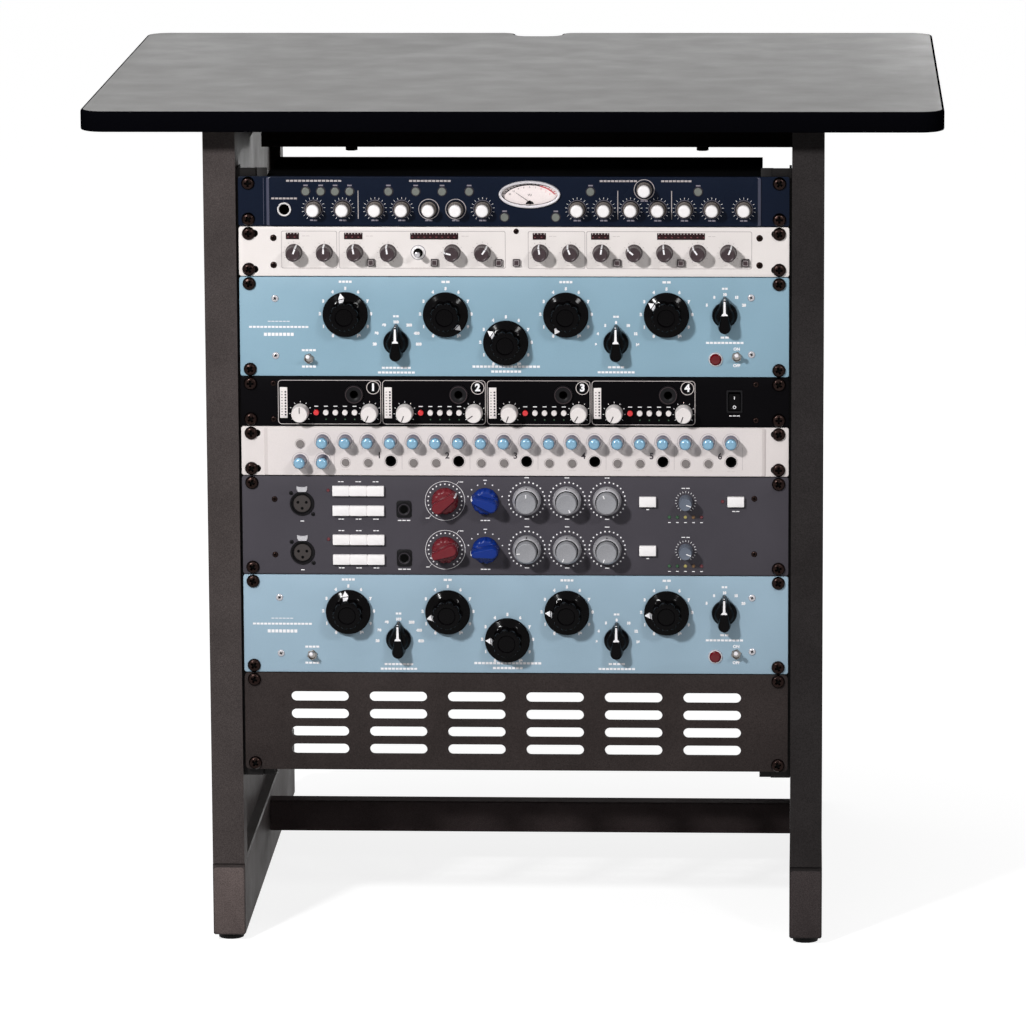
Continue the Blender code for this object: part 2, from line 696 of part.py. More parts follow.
def block(bm, x, y, width, height, z0, z1):
    box(bm, (x - width / 2, y - height / 2, z0), (x + width / 2, y + height / 2, z1))


def small_knob(name, finish, space, x, y, radius, height, angle=0.0):
    """A small tapered knob on its shaft."""
    form = bmesh.new()
    knob_form(form, 0, 0, radius, height, TOUCH, KNOB_SIDES)
    knob = knob_part(name, form, finish, space, x, y, 0, angle)
    add_shaft(knob)
    return knob


def round_key(name, finish, space, x, y, radius, height):
    form = bmesh.new()
    disc(form, 0, 0, radius, -KEY_STEM_LENGTH, height, SMALL_SIDES)
    return knob_part(name, form, finish, space, x, y)


def block_key(name, finish, space, x, y, width, height, proud):
    form = bmesh.new()
    block(form, 0, 0, width, height, -KEY_STEM_LENGTH, proud)
    return knob_part(name, form, finish, space, x, y)


def channel_strip(space):
    plate, holes, fittings = faceplate("channel_strip", "navy_panel", space)
    raised = bmesh.new()
    prism(raised, 0, 0, STRIP_RAISED_WIDTH, panel_height(1), PANEL_CORNER_RADIUS, -FUSE, STRIP_RAISED_HEIGHT)
    join(plate, raised, "raised_middle")
    ellipse(holes, METER_X, METER_Y, METER_WIDTH - METER_RIM_WIDTH, METER_HEIGHT - METER_RIM_WIDTH,
            -PANEL_THICKNESS - FUSE, STRIP_RAISED_HEIGHT + FUSE)
    shaft_hole(holes, STRIP_OUTPUT_X, STRIP_KNOB_Y)
    disc(holes, STRIP_BYPASS_X, STRIP_KEY_Y, STRIP_KEY_RADIUS + KEY_CLEARANCE, *THROUGH, SMALL_SIDES)
    jack_hole(holes, *STRIP_JACK, STRIP_JACK_RADIUS)
    cut(plate, holes)
    jack_form(fittings, *STRIP_JACK, STRIP_JACK_RADIUS, STRIP_RAISED_HEIGHT)
    for x, y in [(x, STRIP_KNOB_Y) for x in STRIP_KNOB_X] + [STRIP_HIGH_KNOB]:
        disc(fittings, x, y, STRIP_KNOB_RADIUS, 0, STRIP_RAISED_HEIGHT + STRIP_KNOB_HEIGHT, SMALL_SIDES,
             STRIP_CAP_RADIUS)
    for x, y in [(x, STRIP_KEY_Y) for x in STRIP_KEY_X] + list(STRIP_LOW_KEYS):
        disc(fittings, x, y, STRIP_KEY_RADIUS, 0, STRIP_RAISED_HEIGHT + STRIP_KEY_HEIGHT, SMALL_SIDES)
    join(plate, fittings)
    chassis("channel_strip", SHALLOW_CASE_DEPTH, space)
    knob = bmesh.new()
    disc(knob, 0, 0, STRIP_KNOB_RADIUS, TOUCH, STRIP_KNOB_HEIGHT, KNOB_SIDES, STRIP_CAP_RADIUS)
    add_shaft(knob_part("channel_strip_output_knob", knob, "white_plastic", space,
                        STRIP_OUTPUT_X, STRIP_KNOB_Y, STRIP_RAISED_HEIGHT))
    key = bmesh.new()
    disc(key, 0, 0, STRIP_KEY_RADIUS, -STRIP_RAISED_HEIGHT - KEY_STEM_LENGTH, STRIP_KEY_HEIGHT, SMALL_SIDES)
    knob_part("channel_strip_bypass_button", key, "clear_grey_plastic", space,
              STRIP_BYPASS_X, STRIP_KEY_Y, STRIP_RAISED_HEIGHT)
    meter(space)


def meter(space):
    """The oval meter: a rimmed cup through the panel, with its face inside, and the needle in front of it."""
    seat = STRIP_RAISED_HEIGHT + TOUCH
    body_width = METER_WIDTH - METER_RIM_WIDTH - 2 * TOUCH
    body_height = METER_HEIGHT - METER_RIM_WIDTH - 2 * TOUCH
    well_width = body_width - 2 * METER_WALL
    well_height = body_height - 2 * METER_WALL
    face = STRIP_RAISED_HEIGHT - METER_FACE_DEPTH
    bm = bmesh.new()
    ellipse(bm, METER_X, METER_Y, body_width, body_height, face - METER_DEPTH, seat + FUSE)
    cup = add_part("vu_meter", bm, "chrome", space)
    rim = bmesh.new()
    ellipse(rim, METER_X, METER_Y, METER_WIDTH, METER_HEIGHT, seat, seat + METER_RIM_HEIGHT)
    join(cup, rim, "rim")
    well = bmesh.new()
    ellipse(well, METER_X, METER_Y, well_width, well_height, face, seat + METER_RIM_HEIGHT + FUSE)
    cut(cup, well, "well")
    hub_y = METER_Y - well_height / 2 + NEEDLE_HUB_RADIUS + 2 * TOUCH
    boss = bmesh.new()
    disc(boss, METER_X, hub_y, NEEDLE_HUB_RADIUS / 2, face - FUSE, face + TOUCH, SMALL_SIDES)
    join(cup, boss, "boss")
    needle = bmesh.new()
    disc(needle, 0, 0, NEEDLE_HUB_RADIUS, 0, NEEDLE_THICKNESS, SMALL_SIDES)
    part = knob_part("vu_needle", needle, "black_plastic", space,
                     METER_X, hub_y, face + 2 * TOUCH, NEEDLE_REST)
    blade = bmesh.new()
    box(blade, (-NEEDLE_WIDTH / 2, 0, 0), (NEEDLE_WIDTH / 2, NEEDLE_LENGTH, NEEDLE_THICKNESS * 0.8))
    join(part, blade, "blade")


def dynamics(space):
    plate, holes, fittings = faceplate("dynamics", "cream_panel", space)
    shaft_hole(holes, DYNAMICS_OUTPUT_X, DYNAMICS_KNOB_Y)
    key_hole = DYNAMICS_KEY_WIDTH + 2 * KEY_CLEARANCE
    prism(holes, DYNAMICS_BYPASS_X, DYNAMICS_KEY_Y, key_hole, key_hole, KEY_CLEARANCE, *THROUGH, steps=1)
    cut(plate, holes)
    for x in DYNAMICS_KNOB_X:
        knob_form(fittings, x, DYNAMICS_KNOB_Y, DYNAMICS_KNOB_RADIUS, DYNAMICS_KNOB_HEIGHT)
    turned(fittings, DYNAMICS_BARE_X, DYNAMICS_KNOB_Y, (
        (0, -FUSE), (DYNAMICS_NUT_RADIUS, -FUSE), (DYNAMICS_NUT_RADIUS, DYNAMICS_NUT_HEIGHT),
        (SHAFT_RADIUS, DYNAMICS_NUT_HEIGHT), (SHAFT_RADIUS, DYNAMICS_KNOB_HEIGHT),
        (0, DYNAMICS_KNOB_HEIGHT)), SHAFT_SIDES)
    for x in DYNAMICS_KEY_X:
        block(fittings, x, DYNAMICS_KEY_Y, DYNAMICS_KEY_WIDTH, DYNAMICS_KEY_WIDTH, -FUSE, DYNAMICS_KEY_HEIGHT)
    join(plate, fittings)
    chassis("dynamics", MEDIUM_CASE_DEPTH, space)
    small_knob("dynamics_output_knob", "grey_plastic", space, DYNAMICS_OUTPUT_X, DYNAMICS_KNOB_Y,
               DYNAMICS_KNOB_RADIUS, DYNAMICS_KNOB_HEIGHT, DYNAMICS_OUTPUT_REST)
    block_key("dynamics_bypass_button", "black_plastic", space, DYNAMICS_BYPASS_X, DYNAMICS_KEY_Y,
              DYNAMICS_KEY_WIDTH, DYNAMICS_KEY_WIDTH, DYNAMICS_KEY_HEIGHT)


def dial_form():
    """An equalizer knob: a fluted grip on a round skirt, all one turning with every second row drawn in."""
    bm = bmesh.new()
    turned(bm, 0, 0, (
        (0, TOUCH), (DIAL_SKIRT_RADIUS, TOUCH), (DIAL_SKIRT_RADIUS, DIAL_SKIRT_HEIGHT),
        (DIAL_GRIP_RADIUS, DIAL_GRIP_FOOT_HEIGHT), (DIAL_GRIP_TOP_RADIUS, DIAL_HEIGHT), (0, DIAL_HEIGHT)),
        2 * DIAL_LOBES)
    step = math.pi / DIAL_LOBES
    for vert in bm.verts:
        reach = vert.co.xy.length
        row = round(math.atan2(vert.co.y, vert.co.x) / step)
        if vert.co.z > DIAL_SKIRT_HEIGHT + TOUCH and reach > DIAL_GRIP_TOP_RADIUS / 2 and row % 2:
            vert.co.xy *= (reach - DIAL_FLUTE_DEPTH) / reach
    return bm


def equalizer(name, rests, space):
    left, right = EQ_CENTRE_X - EQ_INNER_X, EQ_CENTRE_X + EQ_INNER_X
    dials = (("low_gain", EQ_CENTRE_X - EQ_OUTER_X, EQ_HIGH_Y), ("low_mid_gain", left, EQ_HIGH_Y),
             ("mid_gain", EQ_CENTRE_X, EQ_LOW_Y), ("high_mid_gain", right, EQ_HIGH_Y),
             ("high_gain", EQ_CENTRE_X + EQ_OUTER_X, EQ_HIGH_Y))
    pointers = (("low_band", EQ_CENTRE_X - EQ_SWITCH_X, EQ_LOW_Y),
                ("high_band", EQ_CENTRE_X + EQ_SWITCH_X, EQ_LOW_Y),
                ("output", EQ_RIGHT_SWITCH_X, EQ_HIGH_Y))
    toggles = (("range", *EQ_TOGGLE_LEFT), ("power", *EQ_TOGGLE_RIGHT))
    plate, holes, fittings = faceplate(name, "blue_panel", space)
    for _, x, y in dials + pointers:
        shaft_hole(holes, x, y)
    for _, x, y in toggles:
        disc(holes, x, y, (TOGGLE_BORE_RADIUS + TOGGLE_NUT_RADIUS) / 2, *THROUGH, SMALL_SIDES)
    cut(plate, holes)
    floor = -TOGGLE_BALL_RADIUS - TOUCH
    for _, x, y in toggles:
        turned(fittings, x, y, (
            (0, floor), (TOGGLE_BORE_RADIUS, floor), (TOGGLE_BORE_RADIUS, TOGGLE_BARREL_HEIGHT),
            (TOGGLE_BARREL_RADIUS, TOGGLE_BARREL_HEIGHT), (TOGGLE_BARREL_RADIUS, TOGGLE_NUT_HEIGHT),
            (TOGGLE_NUT_RADIUS, TOGGLE_NUT_HEIGHT), (TOGGLE_NUT_RADIUS, floor - FUSE),
            (0, floor - FUSE)), SHAFT_SIDES)
    turned(fittings, *EQ_LAMP, ((0, -FUSE), (EQ_LAMP_RADIUS, -FUSE), (EQ_LAMP_RADIUS, FUSE),
                                (EQ_LAMP_RADIUS * 0.6, EQ_LAMP_HEIGHT), (0, EQ_LAMP_HEIGHT)), SMALL_SIDES)
    join(plate, fittings)
    chassis(name, DEEP_CASE_DEPTH, space)
    dial = bpy.data.meshes.get("dial") or solid_mesh("dial", dial_form())
    for (word, x, y), rest in zip(dials, rests):
        add_shaft(knob_part(f"{name}_{word}_knob", dial, "black_plastic", space, x, y, 0, rest))
    for word, x, y in pointers:
        base = bmesh.new()
        knob_form(base, 0, 0, POINTER_BASE_RADIUS, POINTER_BASE_HEIGHT, TOUCH, WIDE_SIDES)
        knob = knob_part(f"{name}_{word}_selector", base, "black_plastic", space, x, y)
        add_shaft(knob)
        body = bmesh.new()
        wedge(body, POINTER_REACH - TOUCH, POINTER_TIP_RADIUS, POINTER_BODY_RADIUS, POINTER_BODY_RADIUS,
              TOUCH * 2, POINTER_BODY_HEIGHT)
        join(knob, body, "teardrop")
        bar = bmesh.new()
        wedge(bar, POINTER_REACH, POINTER_TIP_RADIUS, POINTER_TAIL_REACH, POINTER_TAIL_RADIUS,
              TOUCH * 3, POINTER_HEIGHT)
        join(knob, bar, "bar")
    for word, x, y in toggles:
        bat = bmesh.new()
        turned(bat, 0, 0, (
            (0, -TOGGLE_BALL_RADIUS), (TOGGLE_BALL_RADIUS * 0.8, -TOGGLE_BALL_RADIUS * 0.6),
            (TOGGLE_BALL_RADIUS, 0),
            (TOGGLE_STEM_RADIUS, TOGGLE_BALL_RADIUS * 0.8), (TOGGLE_STEM_RADIUS, TOGGLE_BARREL_HEIGHT),
            (TOGGLE_TIP_RADIUS, TOGGLE_LENGTH - FUSE), (0, TOGGLE_LENGTH)), SMALL_SIDES)
        lever = knob_part(f"{name}_{word}_toggle", bat, "chrome", space, x, y)
        lever.rotation_euler = (-math.radians(TOGGLE_REST), 0, 0)


def quad_unit(space):
    plate, holes, fittings = faceplate("quad_unit", "black_panel", space)
    bezel = bmesh.new()
    prism(bezel, ROCKER_X, ROCKER_Y, ROCKER_WIDTH + 2 * ROCKER_BEZEL_WIDTH,
          ROCKER_HEIGHT + 2 * ROCKER_BEZEL_WIDTH,
          ROCKER_BEZEL_WIDTH, -FUSE, ROCKER_BEZEL_HEIGHT)
    join(plate, bezel, "bezel")
    lefts = [MODULE_LEFT_X + index * MODULE_PITCH for index in range(MODULE_COUNT)]
    level_x = lefts[0] + MODULE_KNOB_X[0]
    mute_x = lefts[0] + MODULE_RED_X
    knobs = [left + x for left in lefts for x in MODULE_KNOB_X]
    keys = [left + MODULE_KEY_X + step * MODULE_KEY_PITCH for left in lefts for step in range(MODULE_KEYS)]
    keys += [left + MODULE_RED_X for left in lefts]
    shaft_hole(holes, level_x, MODULE_ROW_Y)
    disc(holes, mute_x, MODULE_ROW_Y, MODULE_KEY_RADIUS + KEY_CLEARANCE, *THROUGH, SMALL_SIDES)
    prism(holes, ROCKER_X, ROCKER_Y, ROCKER_WIDTH + 2 * ROCKER_CLEARANCE - ROCKER_BEZEL_WIDTH,
          ROCKER_HEIGHT + 2 * ROCKER_CLEARANCE, ROCKER_CLEARANCE, *THROUGH, steps=1)
    for left in lefts:
        jack_hole(holes, left + MODULE_JACK_X, MODULE_JACK_Y, MODULE_JACK_RADIUS)
    cut(plate, holes)
    for x in knobs:
        if x != level_x:
            knob_form(fittings, x, MODULE_ROW_Y, MODULE_KNOB_RADIUS, MODULE_KNOB_HEIGHT)
    for x in keys:
        if x != mute_x:
            disc(fittings, x, MODULE_ROW_Y, MODULE_KEY_RADIUS, -FUSE, MODULE_KEY_HEIGHT, SHAFT_SIDES)
    for left in lefts:
        jack_form(fittings, left + MODULE_JACK_X, MODULE_JACK_Y, MODULE_JACK_RADIUS)
    join(plate, fittings)
    chassis("quad_unit", MEDIUM_CASE_DEPTH, space)
    small_knob("quad_unit_level_knob", "white_plastic", space, level_x, MODULE_ROW_Y,
               MODULE_KNOB_RADIUS, MODULE_KNOB_HEIGHT)
    round_key("quad_unit_mute_button", "red_plastic", space, mute_x, MODULE_ROW_Y, MODULE_KEY_RADIUS,
              MODULE_KEY_HEIGHT)
    rocker = bmesh.new()
    end = ROCKER_HEIGHT / 2
    proud = ROCKER_PROUD_HEIGHT
    base = proud - ROCKER_DEPTH
    outline = [rocker.verts.new((0, y, z)) for y, z in (
        (-end, base), (end, base), (end, proud), (0, proud / 2), (-end, proud))]
    rocker.faces.new(outline)
    width = ROCKER_WIDTH - ROCKER_BEZEL_WIDTH
    made = bmesh.ops.extrude_face_region(rocker, geom=rocker.faces[:])["geom"]
    bmesh.ops.translate(rocker, verts=[item for item in made if isinstance(item, bmesh.types.BMVert)],
                        vec=(width, 0, 0))
    bmesh.ops.translate(rocker, verts=rocker.verts, vec=(-width / 2, 0, 0))
    part = knob_part("quad_unit_power_rocker", rocker, "black_plastic", space, ROCKER_X, ROCKER_Y)
    part.rotation_euler = (math.radians(ROCKER_TILT), 0, 0)


def headphone_amp(space):
    columns = [(index - (GRID_COLUMNS - 1) / 2) * GRID_PITCH + GRID_SHIFT_X for index in range(GRID_COLUMNS)]
    jacks = columns[4::3]
    low_keys = [x for x in columns[2:] if x not in jacks]
    knobs = [(x, GRID_HIGH_Y) for x in columns[1:]] + [(x, GRID_LOW_Y) for x in columns[:2]]
    volume = knobs.pop(0)
    mute_x = low_keys.pop(0)
    plate, holes, fittings = faceplate("headphone_amp", "cream_panel", space)
    shaft_hole(holes, *volume)
    disc(holes, mute_x, GRID_KEY_Y, GRID_KEY_RADIUS + KEY_CLEARANCE, *THROUGH, SMALL_SIDES)
    for x in jacks:
        jack_hole(holes, x, GRID_LOW_Y, GRID_JACK_RADIUS)
    cut(plate, holes)
    for x, y in knobs:
        knob_form(fittings, x, y, GRID_KNOB_RADIUS, GRID_KNOB_HEIGHT)
    for x, y in [(columns[0], GRID_FIRST_KEY_Y)] + [(x, GRID_KEY_Y) for x in low_keys]:
        disc(fittings, x, y, GRID_KEY_RADIUS, -FUSE, GRID_KEY_HEIGHT, SHAFT_SIDES)
    for x in jacks:
        jack_form(fittings, x, GRID_LOW_Y, GRID_JACK_RADIUS)
    join(plate, fittings)
    chassis("headphone_amp", MEDIUM_CASE_DEPTH, space)
    small_knob("headphone_amp_volume_knob", "pale_blue_plastic", space, *volume,
               GRID_KNOB_RADIUS, GRID_KNOB_HEIGHT)
    round_key("headphone_amp_mute_button", "grey_plastic", space, mute_x, GRID_KEY_Y, GRID_KEY_RADIUS,
              GRID_KEY_HEIGHT)


def dual_preamp(space):
    channels = (("upper", CHANNEL_MIDDLE_Y + CHANNEL_PITCH / 2),
                ("lower", CHANNEL_MIDDLE_Y - CHANNEL_PITCH / 2))
    plate, holes, fittings = faceplate("dual_preamp", "grey_panel", space)
    filter_place = (STACK_X[0], channels[0][1] + STACK_RISE)
    for _, y in channels:
        shaft_hole(holes, GAIN_X, y)
        shaft_hole(holes, OUTPUT_X, y)
        disc(holes, SOCKET_X, y - SOCKET_DROP, SOCKET_RADIUS, *THROUGH, KNOB_SIDES)
        jack_hole(holes, DUAL_JACK_X, y - DUAL_JACK_DROP, DUAL_JACK_WIDTH / 2)
    shaft_hole(holes, *filter_place)
    prism(holes, *POWER_KEY, WIDE_KEY_WIDTH + 2 * KEY_CLEARANCE, WIDE_KEY_HEIGHT + 2 * KEY_CLEARANCE,
          KEY_CLEARANCE, *THROUGH, steps=1)
    cut(plate, holes)
    for _, y in channels:
        rim = SOCKET_RADIUS + SOCKET_RIM_WIDTH
        groove = -SOCKET_GROOVE_DEPTH
        turned(fittings, SOCKET_X, y - SOCKET_DROP, (
            (0, 0), (SOCKET_INSERT_RADIUS, 0), (SOCKET_INSERT_RADIUS, groove), (SOCKET_RADIUS, groove),
            (SOCKET_RADIUS, SOCKET_RIM_HEIGHT), (rim, SOCKET_RIM_HEIGHT), (rim, groove - FUSE),
            (0, groove - FUSE)), KNOB_SIDES)
        block(fittings, SOCKET_X, y - SOCKET_DROP + LATCH_RISE + LATCH_HEIGHT / 2, LATCH_WIDTH, LATCH_HEIGHT,
              -FUSE, SOCKET_RIM_HEIGHT)
        for x in BLOCK_KEY_X:
            for row in (y - BLOCK_KEY_ROW_Y, y + BLOCK_KEY_ROW_Y):
                block(fittings, x, row, BLOCK_KEY_WIDTH, BLOCK_KEY_HEIGHT, -FUSE, BLOCK_KEY_PROUD_HEIGHT)
        jack_form(fittings, DUAL_JACK_X, y - DUAL_JACK_DROP, DUAL_JACK_WIDTH / 2)
        block(fittings, WIDE_KEY_X, y, WIDE_KEY_WIDTH, WIDE_KEY_HEIGHT, -FUSE, BLOCK_KEY_PROUD_HEIGHT)
        knob_form(fittings, LEVEL_X, y, LEVEL_RADIUS, LEVEL_HEIGHT)
        for x in STACK_X:
            if (x, y + STACK_RISE) != filter_place:
                turned(fittings, x, y + STACK_RISE, (
                    (0, -FUSE), (STACK_OUTER_RADIUS, -FUSE), (STACK_OUTER_RADIUS, STACK_OUTER_HEIGHT),
                    (STACK_INNER_RADIUS, STACK_OUTER_HEIGHT), (STACK_INNER_RADIUS * KNOB_TAPER, STACK_HEIGHT),
                    (0, STACK_HEIGHT)), SMALL_SIDES)
    join(plate, fittings)
    chassis("dual_preamp", DEEP_CASE_DEPTH, space)
    for (word, y), gain, output in zip(channels, GAIN_REST, OUTPUT_REST):
        for label, x, finish, rest in (("gain", GAIN_X, "red_plastic", gain),
                                       ("output", OUTPUT_X, "blue_plastic", output)):
            base = bmesh.new()
            knob_form(base, 0, 0, WING_BASE_RADIUS, WING_BASE_HEIGHT, TOUCH, WIDE_SIDES)
            knob = knob_part(f"dual_preamp_{word}_{label}_knob", base, finish, space, x, y, 0, rest)
            add_shaft(knob)
            bar = bmesh.new()
            reach = WING_REACH + WING_RADIUS
            wedge(bar, reach, WING_RADIUS, reach, WING_RADIUS, TOUCH * 2, WING_HEIGHT)
            join(knob, bar, "bar")
    ring = bmesh.new()
    turned(ring, 0, 0, (
        (STACK_BORE_RADIUS, -SHAFT_LENGTH), (SHAFT_RADIUS, -SHAFT_LENGTH), (SHAFT_RADIUS, TOUCH),
        (STACK_OUTER_RADIUS, TOUCH), (STACK_OUTER_RADIUS, STACK_OUTER_HEIGHT),
        (STACK_BORE_RADIUS, STACK_OUTER_HEIGHT)), WIDE_SIDES)
    knob_part("dual_preamp_filter_ring_knob", ring, "grey_plastic", space, *filter_place)
    inner = bmesh.new()
    seat = STACK_OUTER_HEIGHT + TOUCH
    knob_form(inner, 0, 0, STACK_INNER_RADIUS, STACK_HEIGHT, seat, WIDE_SIDES)
    add_shaft(knob_part("dual_preamp_filter_knob", inner, "grey_plastic", space, *filter_place),
              STACK_SPINDLE_RADIUS, -SHAFT_LENGTH - FUSE, seat)
    block_key("dual_preamp_power_button", "white_plastic", space, *POWER_KEY, WIDE_KEY_WIDTH, WIDE_KEY_HEIGHT,
              BLOCK_KEY_PROUD_HEIGHT)


def vent_panel(space):
    plate, holes, fittings = faceplate("vent_panel", "frame_paint", space, VENT_CORNER_RADIUS)
    for column in range(VENT_COLUMNS):
        for row in range(VENT_ROWS):
            prism(holes, (column - (VENT_COLUMNS - 1) / 2) * VENT_PITCH,
                  VENT_CENTRE_Y + (row - (VENT_ROWS - 1) / 2) * VENT_ROW_PITCH,
                  VENT_LENGTH, VENT_HEIGHT, VENT_HEIGHT / 2, *THROUGH)
    cut(plate, holes)
    join(plate, fittings)
    hems = bmesh.new()
    edge = panel_height(UNITS["vent_panel"]) / 2
    for side in (-1, 1):
        middle = side * (edge - PANEL_THICKNESS / 2)
        block(hems, 0, middle, VENT_HEM_WIDTH, PANEL_THICKNESS, -VENT_HEM_DEPTH, -PANEL_THICKNESS / 2)
    join(plate, hems, "hems")


clear_scene()
places = spaces()
desktop()
side_frame("left_side_frame", -1)
side_frame("right_side_frame", 1)
crossbars()
rack_rail("left_rack_rail", -1)
rack_rail("right_rack_rail", 1)
channel_strip(places["channel_strip"])
dynamics(places["dynamics"])
equalizer("upper_equalizer", EQ_UPPER_REST, places["upper_equalizer"])
quad_unit(places["quad_unit"])
headphone_amp(places["headphone_amp"])
dual_preamp(places["dual_preamp"])
equalizer("lower_equalizer", EQ_LOWER_REST, places["lower_equalizer"])
vent_panel(places["vent_panel"])
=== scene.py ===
"""Looks, light and camera of a desktop studio rack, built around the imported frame.

Each panel is drawn in millimetres in a space of its own, with x to the right, y up and z out of the
panel, from the middle of its front face. Angles turn clockwise as seen from the front.
"""
from math import asin, cos, hypot, pi, radians, sin

import bmesh
import bpy
from mathutils import Matrix, Vector


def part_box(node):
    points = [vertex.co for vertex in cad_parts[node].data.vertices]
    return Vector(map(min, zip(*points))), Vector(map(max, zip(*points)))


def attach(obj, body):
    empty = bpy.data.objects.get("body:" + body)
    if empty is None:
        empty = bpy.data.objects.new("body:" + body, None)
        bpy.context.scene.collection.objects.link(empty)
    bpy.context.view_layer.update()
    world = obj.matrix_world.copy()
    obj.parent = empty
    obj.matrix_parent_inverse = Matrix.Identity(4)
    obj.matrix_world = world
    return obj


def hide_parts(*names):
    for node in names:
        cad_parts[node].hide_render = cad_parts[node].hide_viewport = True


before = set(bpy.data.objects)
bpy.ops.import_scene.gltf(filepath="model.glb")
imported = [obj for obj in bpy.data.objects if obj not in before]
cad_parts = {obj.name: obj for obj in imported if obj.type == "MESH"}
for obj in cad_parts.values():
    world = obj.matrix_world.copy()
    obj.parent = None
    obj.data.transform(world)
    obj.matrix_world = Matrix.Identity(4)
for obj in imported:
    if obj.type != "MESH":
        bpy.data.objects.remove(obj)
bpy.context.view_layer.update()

MM = 0.001
# In millimetres: half the thickness of printed ink, the gap under a moving knob, how far a fixed control
# reaches into its panel, and the back of a moving key's stem
INK = 0.1
TOUCH = 0.3
SUNK = -1
KEY_BACK = -3.6
# Edges sharper than this stay sharp; a capital's share of the text size; and the pitch of caption rules
SHARP_ANGLE = radians(33)
TEXT_SIZE = 1.38
RULE_PITCH = 3.4
DEVICES = ("channel_strip", "dynamics", "upper_equalizer", "quad_unit", "headphone_amp", "dual_preamp",
           "lower_equalizer", "vent_panel")


def node_box(node):
    """The low and the high corner of a CAD node in millimetres."""
    return [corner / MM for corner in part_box(node)]


def panel_node(device):
    return device if device == "vent_panel" else f"{device}_faceplate"


# Desk and side frames
DESK_LOW, DESK_HIGH = node_box("desktop")
TOP_CORNER = 22.0
NOTCH_WIDTH = 44.0
NOTCH_DEPTH = 28.0
NOTCH_CORNER = 13.0
NOTCH_LIP = 13.0
LEG_CENTRE = 257.65
FOOT_FRONT = -250.0
FOOT_BACK = 295.0
CAP_WIDTH = 28.2
CAP_HEIGHT = 62.0
CAP_MIDDLE = 37.2
GLIDE_INSET = 18.0
GLIDE_RADIUS = 11.3

RAIL_LOW, RAIL_HIGH = node_box("right_rack_rail")
BAFFLE_WIDTH = 11.0
BAFFLE_SET = 3.4

# Panels. RACK_SCREW is a radius and a height, EAR_SLOT a width, a height and a corner, and EAR_SHIFTS says
# how far a slot's middle is from its screw's, by side.
PANEL_LOW, PANEL_HIGH = node_box("vent_panel")
PANEL_Y = PANEL_LOW.y
PANEL_WIDTH = PANEL_HIGH.x - PANEL_LOW.x
PANEL_BACK = -3
RACK_SCREW = (5.9, 3.2)
EAR_SLOT = (12.8, 6.6, 3.2)
EAR_SHIFTS = ((-1, 1.9), (1, -0.6))
SCREW_SPACING = 465.1
SCREW_TURN = 17
SCREW_FROM_EDGE = 5.95
PANEL_BOXES = {device: node_box(panel_node(device)) for device in DEVICES}
CENTRES = {device: (low.z + high.z) / 2 for device, (low, high) in PANEL_BOXES.items()}
HEIGHTS = {device: high.z - low.z for device, (low, high) in PANEL_BOXES.items()}
RAISED = 2.0
AMP_RAISED = 1.0

# Millimetres across the broad marks of every look, how far the gloss varies about its mean, and which
# part of a noise is used
BROAD_GRAIN = 45
GLOSS_SPREAD = 0.12
NOISE_SPAN = (0.32, 0.68)

